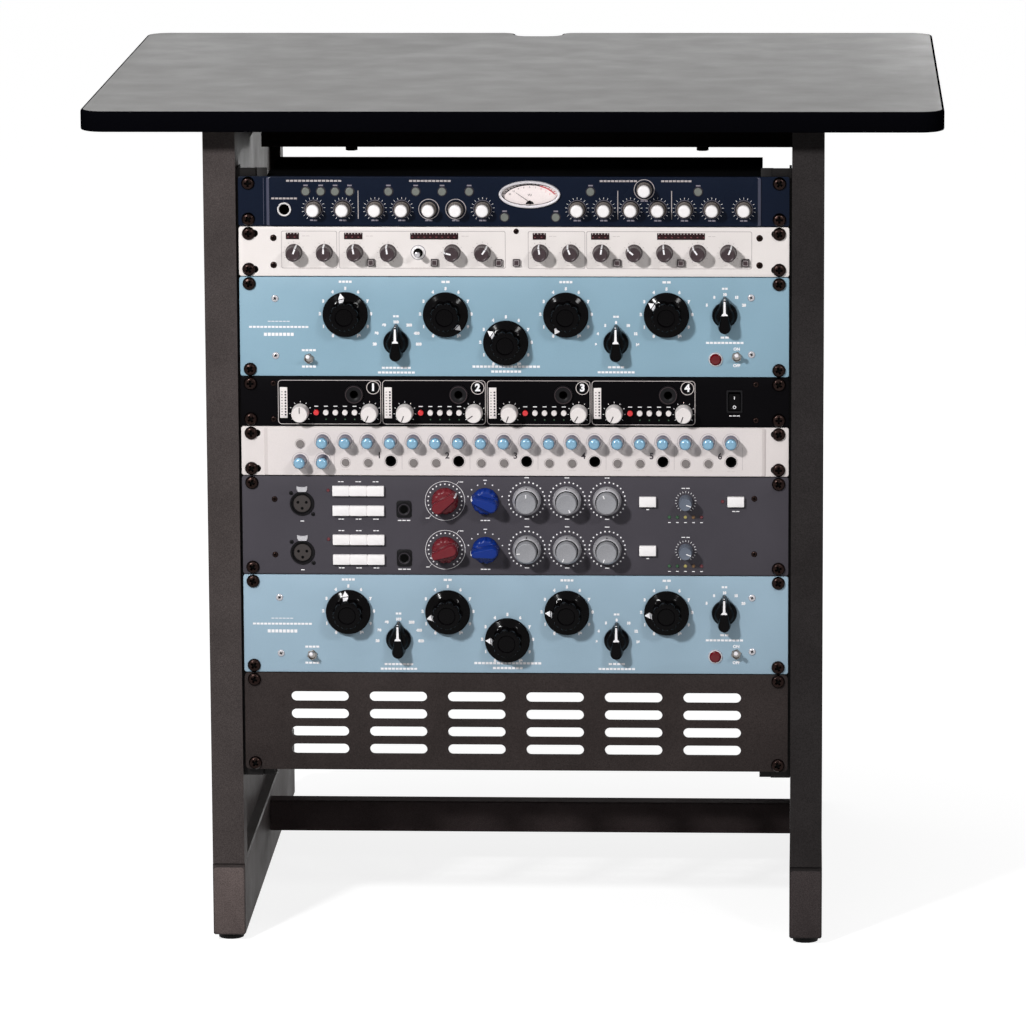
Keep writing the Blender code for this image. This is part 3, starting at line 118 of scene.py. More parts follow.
# Colour as an sRGB triple, roughness, grain and its depth in millimetres, how much the colour varies,
# specular level and metallic share
LOOKS = {
    # The desk top's grey is partly the laminate's own dark tone and partly a painted sheen, lightened to
    # stand in for the bright reflection it shows at a low view
    "laminate_painted_sheen": ((104, 103, 102), 0.42, 0.9, 0.005, 0.08, 0.3, 0),
    "edge_band": ((6, 6, 9), 0.24, 2, 0.003, 0.10, 0, 0),
    "powder": ((53, 47, 46), 0.50, 0.55, 0.035, 0.35, 0.02, 0),
    # The left frame's look is the frame paint lightened by a painted sheen, the light that falls on the
    # left side; right_paint has no such sheen
    "left_paint_painted_sheen": ((67, 61, 60), 0.50, 0.55, 0.035, 0.35, 0.03, 0),
    "right_paint": ((45, 42, 42), 0.50, 0.55, 0.035, 0.35, 0.02, 0),
    # The crossbars' look is the frame paint lightened, with almost no specular, so that painted light
    # stands in for the reflection their shaded faces would show
    "bar": ((84, 74, 74), 0.50, 0.55, 0.035, 0.35, 0.003, 0),
    # The left foot caps' plastic is lightened by a painted sheen, the light that falls on the left side;
    # right_cap has no such sheen
    "left_cap": ((92, 82, 80), 0.60, 0.8, 0.060, 0.35, 0.04, 0),
    "right_cap": ((60, 54, 54), 0.60, 0.8, 0.060, 0.35, 0.04, 0),
    "rubber": ((12, 12, 12), 0.75, 0.8, 0.020, 0.20, 0.2, 0),
    "navy": ((14, 22, 38), 0.30, 0.5, 0.004, 0.12, 0.06, 0),
    # A lighter, glossier navy that paints highlights on the raised front's slopes and down its ends
    "navy_trim": ((52, 54, 74), 0.30, 0.5, 0.002, 0.08, 0.5, 0),
    "cream": ((230, 223, 220), 0.45, 0.6, 0.004, 0.03, 0.3, 0),
    "amp_cream": ((219, 211, 209), 0.45, 0.6, 0.004, 0.03, 0.3, 0),
    "sky": ((135, 166, 183), 0.42, 0.7, 0.006, 0.05, 0.3, 0),
    # The lower equalizer's look is the sky paint lightened as painted light, making up for the lamp light
    # that falls off towards the lower rows
    "sky_painted_light": ((148, 172, 188), 0.42, 0.7, 0.006, 0.05, 0.3, 0),
    "black_paint": ((9, 8, 10), 0.42, 0.5, 0.006, 0.15, 0.02, 0),
    "slate": ((71, 68, 74), 0.50, 0.6, 0.015, 0.14, 0.06, 0),
    "case": ((12, 12, 13), 0.50, 0.6, 0.010, 0.15, 0.08, 0),
    "rail": ((22, 20, 20), 0.45, 0.6, 0.008, 0.15, 0.1, 0),
    "black": ((5, 4, 5), 0.10, 0.6, 0.002, 0.15, 0.05, 0),
    "satin_black": ((20, 19, 21), 0.36, 0.5, 0.006, 0.15, 0.10, 0),
    "charcoal": ((60, 48, 51), 0.30, 0.5, 0.006, 0.16, 0.20, 0),
    "screw": ((34, 25, 23), 0.24, 0.8, 0.012, 0.30, 0.5, 1),
    "grey": ((146, 146, 150), 0.40, 0.5, 0.012, 0.14, 0.25, 0),
    "silver": ((186, 184, 188), 0.24, 0.5, 0.004, 0.10, 0.6, 0.4),
    "white": ((240, 236, 236), 0.30, 0.6, 0.003, 0.03, 0.4, 0),
    # The white caps' ridged sides, painted grey as the shade that falls on them
    "cap_side_painted_shade": ((128, 120, 116), 0.40, 0.6, 0.004, 0.16, 0.2, 0),
    "ivory": ((226, 219, 217), 0.38, 0.5, 0.005, 0.05, 0.4, 0),
    "red": ((104, 28, 36), 0.24, 0.6, 0.003, 0.12, 0.2, 0),
    "blue": ((8, 42, 120), 0.24, 0.6, 0.003, 0.12, 0.18, 0),
    "steel_blue": ((96, 103, 116), 0.34, 0.5, 0.004, 0.10, 0.3, 0),
    "pearl": ((122, 164, 190), 0.20, 0.5, 0.003, 0.10, 0.7, 0.3),
    # The amplifier knobs' sides are the pearl plastic painted dark as a reflection of the shaded desk
    # underside
    "pearl_side_painted_reflection": ((62, 66, 96), 0.16, 0.5, 0.003, 0.10, 0.6, 0.5),
    "key_clear": ((104, 107, 101), 0.30, 0.6, 0.004, 0.14, 0.5, 0),
    "key_soft": ((122, 116, 114), 0.45, 0.6, 0.004, 0.08, 0.3, 0),
    "key_dark": ((48, 39, 42), 0.36, 0.6, 0.004, 0.10, 0.3, 0),
    "key_red": ((206, 30, 36), 0.24, 0.6, 0.003, 0.06, 0.6, 0),
    "rim": ((232, 228, 232), 0.22, 0.8, 0.002, 0.04, 0.7, 0.25),
    "steel": ((150, 146, 142), 0.30, 0.6, 0.006, 0.15, 0.5, 1),
    # Near-black painted shade for the insides of holes, throats, recesses and gaps
    "void": ((3, 3, 3), 0.80, 0.8, 0.004, 0.20, 0.05, 0),
    "insert": ((56, 51, 50), 0.55, 0.6, 0.006, 0.15, 0.2, 0),
    "dial_face": ((238, 226, 224), 0.55, 0.8, 0.003, 0.04, 0.2, 0),
    "lens_red": ((96, 0, 10), 0.06, 0.8, 0.003, 0.15, 0.3, 0),
    "window": ((36, 13, 17), 0.18, 0.8, 0.003, 0.15, 0.15, 0),
    "led_green": ((44, 84, 52), 0.30, 0.6, 0.003, 0.10, 0.5, 0),
    "led_yellow": ((168, 156, 92), 0.30, 0.6, 0.003, 0.10, 0.5, 0),
    "led_amber": ((132, 98, 60), 0.30, 0.6, 0.003, 0.10, 0.5, 0),
    "led_red": ((96, 34, 42), 0.30, 0.6, 0.003, 0.10, 0.5, 0),
    "ink_white": ((242, 240, 242), 0.50, 0.4, 0.002, 0.04, 0.2, 0),
    "ink_grey": ((176, 168, 168), 0.50, 0.4, 0.002, 0.05, 0.2, 0),
    "ink_pale": ((206, 197, 195), 0.50, 0.4, 0.002, 0.05, 0.2, 0),
    "ink_dim": ((132, 126, 136), 0.50, 0.4, 0.002, 0.05, 0.2, 0),
    "ink_dark": ((52, 46, 52), 0.50, 0.4, 0.002, 0.08, 0.2, 0),
    "ink_red": ((214, 112, 116), 0.50, 0.4, 0.002, 0.05, 0.2, 0),
}


def linear(tone):
    """An sRGB triple of 0 to 255 as the colour that a shader takes."""
    parts = [part / 255 for part in tone]
    return (*(part / 12.92 if part <= 0.04045 else ((part + 0.055) / 1.055) ** 2.4 for part in parts), 1)


def noise(nodes, links, where, size, detail):
    """Noise whose features are about size millimetres across."""
    node = nodes.new("ShaderNodeTexNoise")
    node.inputs["Scale"].default_value = 1 / (size * MM)
    node.inputs["Detail"].default_value = detail
    links.new(where.outputs["Object"], node.inputs["Vector"])
    return node.outputs["Fac"]


def spread(nodes, links, source, low, high):
    """Stretches the middle of a noise to the range from low to high."""
    node = nodes.new("ShaderNodeMapRange")
    for socket, value in zip(("From Min", "From Max", "To Min", "To Max"), (*NOISE_SPAN, low, high)):
        node.inputs[socket].default_value = value
    links.new(source, node.inputs["Value"])
    return node.outputs["Result"]


def material(name):
    """The named look: a grained colour, uneven gloss and a fine bump."""
    made = bpy.data.materials.get(f"look_{name}")
    if made:
        return made
    tone, rough, grain, depth, variation, specular, metallic = LOOKS[name]
    made = bpy.data.materials.new(f"look_{name}")
    made.use_nodes = True
    nodes, links = made.node_tree.nodes, made.node_tree.links
    shader = nodes["Principled BSDF"]
    shader.inputs["Specular IOR Level"].default_value = specular
    shader.inputs["Metallic"].default_value = metallic
    where = nodes.new("ShaderNodeTexCoord")
    fine = noise(nodes, links, where, grain, 3)
    broad = noise(nodes, links, where, BROAD_GRAIN, 4)
    mixes = []
    for source, share in ((fine, variation), (broad, variation / 3)):
        mix = nodes.new("ShaderNodeMix")
        mix.data_type = "RGBA"
        mix.blend_type = "MULTIPLY"
        mix.inputs["Factor"].default_value = 1
        factor = spread(nodes, links, source, 1 - share, 1 + share)
        grey = nodes.new("ShaderNodeCombineColor")
        for socket in ("Red", "Green", "Blue"):
            links.new(factor, grey.inputs[socket])
        links.new(grey.outputs["Color"], mix.inputs["B"])
        mixes.append(mix)
    mixes[0].inputs["A"].default_value = linear(tone)
    links.new(mixes[0].outputs["Result"], mixes[1].inputs["A"])
    links.new(mixes[1].outputs["Result"], shader.inputs["Base Color"])
    gloss = spread(nodes, links, broad, rough * (1 - GLOSS_SPREAD), rough * (1 + GLOSS_SPREAD))
    links.new(gloss, shader.inputs["Roughness"])
    bump = nodes.new("ShaderNodeBump")
    bump.inputs["Distance"].default_value = depth * MM
    links.new(fine, bump.inputs["Height"])
    links.new(bump.outputs["Normal"], shader.inputs["Normal"])
    return made


def polar(reach, angle):
    """A point at a distance from the middle, turned clockwise from straight up."""
    turn = radians(angle)
    return reach * sin(turn), reach * cos(turn)


def circle(radius, z, sides, flutes=0, depth=0.0):
    """A ring of points, with rounded grooves where flutes are asked for."""
    points = []
    for step in range(sides):
        turn = 360 * step / sides
        groove = (0.5 - 0.5 * cos(radians(flutes * turn))) ** 2
        points.append((*polar(radius - depth * groove, turn), z))
    return points


def slab(width, height, corner, z, steps=4):
    """A rectangle with rounded corners."""
    points = []
    for quarter, (side_x, side_y) in enumerate(((1, 1), (-1, 1), (-1, -1), (1, -1))):
        for step in range(steps + 1):
            turn = (quarter + step / steps) * pi / 2
            points.append((side_x * (width / 2 - corner) + corner * cos(turn),
                           side_y * (height / 2 - corner) + corner * sin(turn), z))
    return points


def pill(low, low_radius, high, high_radius, z, steps):
    """The outline round two discs on the y axis."""
    lean = asin((low_radius - high_radius) / (high - low))
    points = []
    for middle, radius, start, end in ((high, high_radius, lean, pi - lean),
                                       (low, low_radius, pi - lean, 2 * pi + lean)):
        for step in range(steps + 1):
            turn = start + (end - start) * step / steps
            points.append((radius * cos(turn), middle + radius * sin(turn), z))
    return points


def oval(width, height, z, sides=64):
    turns = [2 * pi * step / sides for step in range(sides)]
    return [(width / 2 * sin(turn), height / 2 * cos(turn), z) for turn in turns]


class Form:
    """Closed shapes gathered into one mesh, each face in a named look."""

    def __init__(self):
        self.bm = bmesh.new()
        self.looks = []
        self.spot = Matrix.Identity(4)

    def at(self, x, y, z=0.0, angle=0.0):
        """Puts the next shapes at a place, turned clockwise."""
        self.spot = Matrix.Translation((x, y, z)) @ Matrix.Rotation(-radians(angle), 4, "Z")
        return self

    def number(self, look):
        """The number of a look's material in this form."""
        if look not in self.looks:
            self.looks.append(look)
        return self.looks.index(look)

    def loft(self, rings, look, closed=False):
        """Skins rings of equally many points. look is one name, or one a band and one for the front."""
        rows = [[self.bm.verts.new(self.spot @ Vector(point)) for point in ring] for ring in rings]
        names = [look] * (len(rows) + 1) if isinstance(look, str) else look
        pairs = list(zip(rows, rows[1:]))
        if closed:
            pairs.append((rows[-1], rows[0]))
        for (row, following), name in zip(pairs, names):
            for here in range(len(row)):
                face = self.bm.faces.new((row[here - 1], row[here], following[here], following[here - 1]))
                face.material_index = self.number(name)
        if not closed:
            self.bm.faces.new(rows[0]).material_index = self.number(names[0])
            self.bm.faces.new(rows[-1]).material_index = self.number(names[-1])
        return self

    def turn(self, profile, look, sides, closed=False):
        """A turned shape. A row is a radius and a height, and may add a count and a depth of flutes."""
        return self.loft([circle(row[0], row[1], sides, *row[2:]) for row in profile], look, closed)

    def prism(self, points, z0, z1, look):
        """An outline drawn out from one height to another."""
        return self.loft([[(x, y, z) for x, y, *_ in points] for z in (z0, z1)], look)

    def rise(self, outline, steps, look):
        """Lofts an outline over pairs of inset and height."""
        return self.loft([outline(inset, z) for inset, z in steps], look)

    def block(self, width, height, z0, z1, look, corner, edge=0.35):
        """A block with rounded corners and a soft front edge."""
        def outline(inset, z):
            return slab(width - 2 * inset, height - 2 * inset, max(corner - inset, 0.08), z)
        steps = ((0, z0), (0, z1 - edge), (edge * 0.3, z1 - edge * 0.3), (edge, z1))
        return self.rise(outline, steps, look)

    def line(self, start, end, width, look="ink_white", z=0.0):
        """A printed stroke."""
        (x0, y0), (x1, y1) = start, end
        scale = width / 2 / hypot(x1 - x0, y1 - y0)
        dx, dy = (y1 - y0) * scale, (x0 - x1) * scale
        corners = ((x0 + dx, y0 + dy), (x0 - dx, y0 - dy), (x1 - dx, y1 - dy), (x1 + dx, y1 + dy))
        return self.prism(corners, z - INK, z + INK, look)

    def band(self, outline, stroke, look, z=0.0):
        """A printed line along a closed outline, drawn for an inset and a height."""
        corners = ((0, z - INK), (0, z + INK), (stroke, z + INK), (stroke, z - INK))
        return self.loft([outline(*corner) for corner in corners], look, True)

    def frame(self, width, height, corner, stroke, look, z=0.0, steps=4):
        """A printed rectangle with rounded corners."""
        def outline(inset, level):
            return slab(width - 2 * inset, height - 2 * inset, corner, level, steps)
        return self.band(outline, stroke, look, z)

    def hoop(self, radius, stroke, look, z=0.0, sides=48):
        """A printed ring."""
        return self.band(lambda inset, level: circle(radius - inset, level, sides), stroke, look, z)

    def dot(self, x, y, radius, look, z=0.0, sides=10):
        points = [(x + px, y + py) for px, py, _ in circle(radius, 0, sides)]
        return self.prism(points, z - INK, z + INK, look)

    def ticks(self, count, sweep, inner, outer, width, look="ink_white"):
        """Strokes of a scale, evenly over a sweep about straight up."""
        for step in range(count):
            angle = sweep * (step / (count - 1) - 0.5)
            self.line(polar(inner, angle), polar(outer, angle), width, look)
        return self

    def dots(self, count, sweep, reach, radius):
        """White dots of a scale, evenly over a sweep about straight up."""
        for step in range(count):
            angle = sweep * (step / (count - 1) - 0.5)
            self.dot(*polar(reach, angle), radius, "ink_white", sides=8)
        return self

    def rules(self, x, y, length, height, look="ink_white", z=0.0):
        """Short plain rules in a row, where the panel has a caption."""
        strokes = max(1, round(length / RULE_PITCH))
        step = length / strokes
        for stroke in range(strokes):
            start = x - length / 2 + stroke * step
            self.line((start + step * 0.1, y), (start + step * 0.9, y), height, look, z)
        return self

    def words(self, text, x, y, height, look="ink_white", bold=0.0):
        """Printed characters whose capitals are about height tall."""
        curve = bpy.data.curves.new("words", "FONT")
        curve.body = text
        curve.align_x = curve.align_y = "CENTER"
        curve.size = height * TEXT_SIZE
        curve.offset = height * bold
        curve.extrude = INK
        curve.resolution_u = 3
        holder = bpy.data.objects.new("words", curve)
        bpy.context.scene.collection.objects.link(holder)
        graph = bpy.context.evaluated_depsgraph_get()
        mesh = bpy.data.meshes.new_from_object(holder.evaluated_get(graph))
        mesh.transform(self.spot @ Matrix.Translation((x, y, 0)))
        known = len(self.bm.verts)
        number = self.number(look)
        for polygon in mesh.polygons:
            polygon.material_index = number
        self.bm.from_mesh(mesh)
        self.bm.verts.ensure_lookup_table()
        bmesh.ops.remove_doubles(self.bm, verts=self.bm.verts[known:], dist=0.002)
        bpy.data.objects.remove(holder)
        bpy.data.curves.remove(curve)
        bpy.data.meshes.remove(mesh)
        return self


def add(name, form):
    """A form as an object of the scene, still in millimetres."""
    bmesh.ops.recalc_face_normals(form.bm, faces=form.bm.faces)
    mesh = bpy.data.meshes.new(name)
    form.bm.to_mesh(mesh)
    form.bm.free()
    for look in form.looks:
        mesh.materials.append(material(look))
    obj = bpy.data.objects.new(name, mesh)
    bpy.context.scene.collection.objects.link(obj)
    return obj


def piece(name, form, space, body="rack", replaces=(), holes=None):
    """A finished piece in metres, with its holes cut, that rides on a body."""
    obj = add(name, form)
    if holes:
        cutter = add(f"{name}_holes", holes)
        modifier = obj.modifiers.new("holes", "BOOLEAN")
        modifier.object = cutter
        modifier.material_mode = "TRANSFER"
        graph = bpy.context.evaluated_depsgraph_get()
        whole = obj.data
        obj.data = bpy.data.meshes.new_from_object(obj.evaluated_get(graph))
        obj.modifiers.clear()
        bpy.data.meshes.remove(whole)
        bpy.data.objects.remove(cutter)
    obj.data.transform(space)
    obj.data.shade_smooth()
    obj.data.set_sharp_from_angle(angle=SHARP_ANGLE)
    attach(obj, body)
    if replaces:
        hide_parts(*replaces)


def space_of(device):
    """From a panel's own space to the scene's."""
    return (Matrix.Scale(MM, 4) @ Matrix.Translation((0, PANEL_Y, CENTRES[device]))
            @ Matrix.Rotation(pi / 2, 4, "X"))


def moving(node, form, space, slot, x, y, z=0.0, angle=0.0, tilt=0.0):
    """A finer form of one moving node, drawn about its own middle."""
    place = Matrix.Translation((x, y, z)) @ Matrix.Rotation(-radians(angle), 4, "Z")
    space = space @ place @ Matrix.Rotation(radians(tilt), 4, "X")
    piece(f"{node}_form", form, space, node, (node,))


# Screws, sockets, keys, knobs and faceplates

# How far behind the panel's face the toggles and the rocker swing
SWING_DEPTH = 2.85
SHAFT_RADIUS = 3.0
SHAFT_BACK = -9.0
KNOB_BORE = 4.0
CROSS_ANGLES = [quarter * 90 + turn for quarter in range(4)
                for turn in (-45, -31.7, -18.4, -9.2, 0, 9.2, 18.4, 31.7)]


def screw(form, radius, height, look):
    """A domed screw head with a cross recess."""
    arm = radius * 0.5

    def ring(share, z):
        return [(*polar(radius * share, angle), height * z) for angle in CROSS_ANGLES]

    def cross(share, z):
        points = []
        for angle in CROSS_ANGLES:
            bend = radians((angle + 45) % 90 - 45)
            reach = min(arm / cos(bend), arm * 0.333 / max(abs(sin(bend)), 0.001))
            points.append((*polar(reach * share, angle), height * z))
        return points

    # The cross recess's floor is painted black as shade
    form.loft([ring(1, -0.3), ring(1, 0.16), ring(0.96, 0.42), ring(0.86, 0.72), ring(0.7, 0.93),
               cross(1, 1), cross(0.72, 0.45)], [look] * 6 + ["void"])


def small_screw(form, x, y, radius, look="screw", angle=20):
    """A screw of the panel itself, flatter than the rack's."""
    screw(form.at(x, y, 0, angle), radius, radius * 0.4, look)


def socket(form, rim, throat, height, look):
    """A round socket whose throat goes back behind the panel, painted black inside as shade."""
    form.turn(((throat + 0.6, -12.6), (throat + 0.6, -2), (rim, -2), (rim, height * 0.7),
               (rim * 0.94, height), ((rim + throat) * 0.52, height), (throat * 1.08, height * 0.55),
               (throat, height * 0.2), (throat, -12)), [look] * 6 + ["void"] * 3, 40)


def round_key(form, size, back, look):
    """A key of a radius and a height, from where its stem ends."""
    radius, top = size
    profile = ((radius, back), (radius, top - 0.35), (radius * 0.96, top - 0.1), (radius * 0.86, top),
               (radius * 0.55, top - 0.12))
    return form.turn(profile, look, 28)


def shaft(profile):
    """A knob's profile with the shaft behind it."""
    return ((SHAFT_RADIUS, SHAFT_BACK), (SHAFT_RADIUS, profile[0][1]), *profile)


def turned_knob(form, profile, look, moves, sides, ends=()):
    """A knob from its foot up, with the shaft of a moving one, and with the looks of its last bands."""
    rows = [(profile[0][0], TOUCH if moves else SUNK), *profile]
    if moves:
        rows = shaft(rows)
    return form.turn(rows, [look] * (len(rows) - len(ends)) + [*ends], sides)


def inlay(form, half, depth, path):
    """A white line of even width along a path of y and z."""
    section = ((-half, 0), (half, 0), (half, depth), (-half, depth))
    return form.loft([[(x, y + lean, z) for x, lean in section] for y, z in path], "ink_white")


def strip_knob(form, moves=False):
    """A white cap whose ridged cone is painted grey as shade, on a dark foot."""
    profile = ((7.5, 0.8), (7.4, 2.2), (6.8, 2.8), (6.5, 3.2, 20, 0.4), (5.7, 12, 20, 0.3), (5.3, 12.8),
               (5.2, 13.1), (4.9, 13.7), (4.2, 14), (3, 14), (1.4, 13.9))
    return turned_knob(form, profile, "satin_black", moves, 80, ["cap_side_painted_shade"] * 2 + ["white"] * 7)


def dynamics_knob(form, moves=False):
    """A dark knob with a ribbed waist and a white line over its top."""
    turned_knob(form, [(7.5, 1.4), (7.2, 2.2), (7, 2.8, 24, 0.4), (6.6, 12.6, 24, 0.4), (6.3, 13.9),
                       (5.9, 14.7), (5.3, 15), (4.6, 14.6), (4.2, 14.5)], "charcoal", moves, 96)
    path = ((7.1, 2.4), (6.75, 8), (6.4, 13.2), (5.6, 14.85), (4.6, 14.86), (0.6, 14.72))
    return inlay(form, 0.72, 0.45, path)


def plain_knob(form, radius, height, look, flutes, line, dish, moves=False):
    """A small tapered knob with soft edges, a shallow dish in its top and a printed line."""
    groove = (flutes, radius * 0.035)
    profile = ((radius, height * 0.12, *groove), (radius * 0.94, height * 0.88, *groove),
               (radius * 0.90, height * 0.97), (radius * 0.84, height),
               (radius * 0.72, height - dish * 0.3), (radius * 0.5, height - dish))
    turned_knob(form, profile, look, moves, 72)
    return form.line((0, radius * 0.12), (0, radius * 0.84), 0.8, line, height - dish * 0.35)


def dial(form):
    """A large control: a lobed grip with a ringed top on a round skirt with a white pointer."""
    form.turn(shaft([(19.4, TOUCH), (19.9, 2.2), (20, 4.6), (19.7, 5.5), (19.2, 6), (18.9, 6.13),
                     (15.3, 7.67), (15, 7.8), (14.3, 8.2), (13.6, 8.7, 9, 1.4), (13.2, 13, 9, 1.5),
                     (12.8, 19.4, 9, 1.4), (12.4, 21, 9, 1), (11.5, 21.8), (9.4, 22), (8, 21.9),
                     (7.4, 21.2), (7, 20.7), (3, 20.8)]), "black", 108)
    for corners in (((0, 19.3, 6.15), (-2.7, 14.8, 7.95), (2.7, 14.8, 7.95)),
                    ((-2.4, 14, 8.3), (2.4, 14, 8.3), (2.1, 13.3, 13), (-2.1, 13.3, 13)),
                    ((-2.1, 13.2, 13), (2.1, 13.2, 13), (1.7, 12.9, 19), (-1.7, 12.9, 19))):
        form.loft([[(x, y + lift, z + lift) for x, y, z in corners] for lift in (-0.2, 0.16)], "ink_white")
    return form


def selector(form):
    """A pointer knob: a teardrop base under a raised wedge with a white line."""
    form.turn(shaft([(11, TOUCH), (11.3, 0.9), (11.2, 3.6), (10.6, 5.2), (9.6, 6.2)]), "black", 48)

    def base(inset, z):
        return pill(-0.6, 9.9 - inset, 13.8, max(1.9 - inset * 0.5, 0.7), z, 12)

    def bar(inset, z):
        return pill(-10, 6.3 - inset, 14.1, max(2 - inset * 0.5, 0.8), z, 12)

    form.rise(base, ((0, 0.8), (0.2, 4.4), (1.2, 7.2), (3, 9.8)), "black")
    form.rise(bar, ((0, 0.6), (0.4, 7), (1, 13), (1.5, 15.2), (2.3, 16)), "black")
    line = ((-0.8, 13.6), (0.8, 13.6), (1.15, 3.6), (2.5, 2.4), (2.7, 1.3), (-2.7, 1.3), (-2.5, 2.4),
            (-1.15, 3.6))
    form.prism(line, 15.5, 16.15, "ink_white")
    tip = ((-0.65, 15.6, 15.1), (0.65, 15.6, 15.1), (0.8, 13.6, 16), (-0.8, 13.6, 16))
    return form.loft([[(x, y, z + lift) for x, y, z in tip] for lift in (-0.5, 0.15)], "ink_white")


def wing(form, look):
    """A fluted base under a raised bar with a white line at its pointer end."""
    form.turn(shaft([(11.8, TOUCH), (12, 1), (11.8, 4, 12, 0.9), (11, 6.6, 12, 1.1),
                     (9.8, 7.8, 12, 0.9), (8, 8.4)]), look, 96)

    def bar(inset, z):
        return pill(-6.6, 6.1 - inset, 8.4, 4.3 - inset, z, 10)

    form.rise(bar, ((0, 0.6), (0.3, 11), (0.8, 18.6), (1.4, 20.3), (2.2, 21)), look)
    path = ((12.4, 3), (12.25, 10), (11.7, 18.2), (10.9, 20.2), (9.8, 20.98), (3, 20.98))
    return inlay(form, 0.75, 0.5, path)


def stack_ring(form):
    """The lower knob of a stacked pair, with a bright sloping edge."""
    # The top face under the upper knob and the bore are painted black as shade
    form.turn(shaft([(12.4, TOUCH), (12.7, 1.6), (12.6, 6), (12, 8.6), (10.9, 10.4), (10.2, 11),
                     (2.2, 11), (2.2, SHAFT_BACK)]),
              ["grey"] * 4 + ["silver"] * 3 + ["void"] * 3, 60, closed=True)
    return form.line((0, 10.6), (0, 12.4), 1, "ink_dark", 9.9)


def stack_top(form):
    """The upper knob of a stacked pair, whose shaft runs through the lower one."""
    foot = 11 + TOUCH
    form.turn(((1.5, -9.5), (1.5, foot), (9.3, foot), (9.4, 12, 30, 0.25), (9.1, 19.6, 30, 0.25),
               (8.9, 20.4), (8.5, 20.9), (7.9, 21), (7.2, 20.8)), "grey", 60)
    return form.line((0, 5.4), (0, 8.4), 0.9, z=21)


def faceplate(device, look, corner=2.0, rise=0.0, foot=0.0, crown=0.0, trim=None):
    """A panel, the forms for its holes and controls, and its ears' screws.

    A raised middle is foot wide where it leaves the panel and crown wide on top; its slopes take a look of
    their own, a painted highlight on the channel strip and a painted shade on the amplifier.
    """
    height = HEIGHTS[device]

    def outline(side, edge, z):
        return slab(PANEL_WIDTH - 2 * side, height - 2 * edge, max(corner - edge, 0.3), z)

    plate = Form()
    rings = [outline(0.3, 0.3, PANEL_BACK), outline(0, 0, PANEL_BACK + 0.3), outline(0, 0, -0.35),
             outline(0.1, 0.1, -0.1), outline(0.35, 0.35, 0)]
    looks = [look] * len(rings)
    if rise:
        inset = (PANEL_WIDTH - foot) / 2
        slope = (foot - crown) / 2
        rings += [outline(inset, 0.36, 0), outline(inset + slope * 0.1, 0.37, rise * 0.45),
                  outline(inset + slope * 0.35, 0.4, rise * 0.8),
                  outline(inset + slope * 0.7, 0.45, rise * 0.96), outline(inset + slope, 0.6, rise)]
        looks += [look, trim, trim, look, look]
    plate.loft(rings, looks)
    controls = Form()
    row = height / 2 - SCREW_FROM_EDGE
    for side in (-1, 1):
        for level in (-row, row):
            controls.at(side * SCREW_SPACING / 2, level, 0, SCREW_TURN * side + level)
            screw(controls, *RACK_SCREW, "screw")
    return plate, Form(), controls


def ear_slots(holes, device):
    """Blind ovals in the ears, their floors painted black as shade, that show past the screw heads."""
    row = HEIGHTS[device] / 2 - SCREW_FROM_EDGE
    for side, shift in EAR_SHIFTS:
        for level in (-row, row):
            holes.at(side * SCREW_SPACING / 2 + shift, level)
            holes.prism(slab(*EAR_SLOT, 0, 5), -1.8, 3, "void")


def bore(holes, x, y, radius=KNOB_BORE):
    """The hole behind a moving control or a socket, its walls painted black as shade."""
    holes.at(x, y).turn(((radius, -4), (radius, 4)), "void", 24)


def finish_panel(device, plate, holes, controls):
    """Makes a panel's two fixed pieces, and gives back its space for the moving ones."""
    space = space_of(device)
    piece(f"{device}_panel", plate, space, replaces=(panel_node(device),), holes=holes)
    piece(f"{device}_controls", controls, space)
    return space


# The channel strip

STRIP_ROW = -6.6
STRIP_KNOBS = (-175, -149.4, -121.1, -97.6, -73.9, -50.3, -26.7, 56, 79.2, 102.7, 126.4, 149.7, 173.6)
STRIP_HIGH_KNOB = (114.6, 10.8)
STRIP_WIDE_HOOPS = (-73.9, -50.3, 114.6)
STRIP_OUTPUT = (201.4, STRIP_ROW)
STRIP_BYPASS = (-181.7, 9)
STRIP_KEYS = [(x, 9) for x in (-168.5, -155.9, -143.2, -109.1, -85.2, -62.1, -38.4, 67.7, 161.7)]
STRIP_KEYS += [(-7.5, -13.6), (37.3, -13.6)]
STRIP_JACK = (-200.7, -6.9)
STRIP_TITLES = ((-174.6, 49), (-72.8, 37), (92, 33), (142.6, 27))
STRIP_DIVIDERS = (-135.8, 91.5, 138.5)
STRIP_FOOT = 434.0
STRIP_CROWN = 425.0
STRIP_KEY = (3.45, 1.6)
# Where painted highlight lines run down the ends of the raised front
STRIP_EDGE_HIGHLIGHTS = (-219, -214, 214)
METER = (14.4, 6.6)
METER_HOLE = (51.4, 21.8)


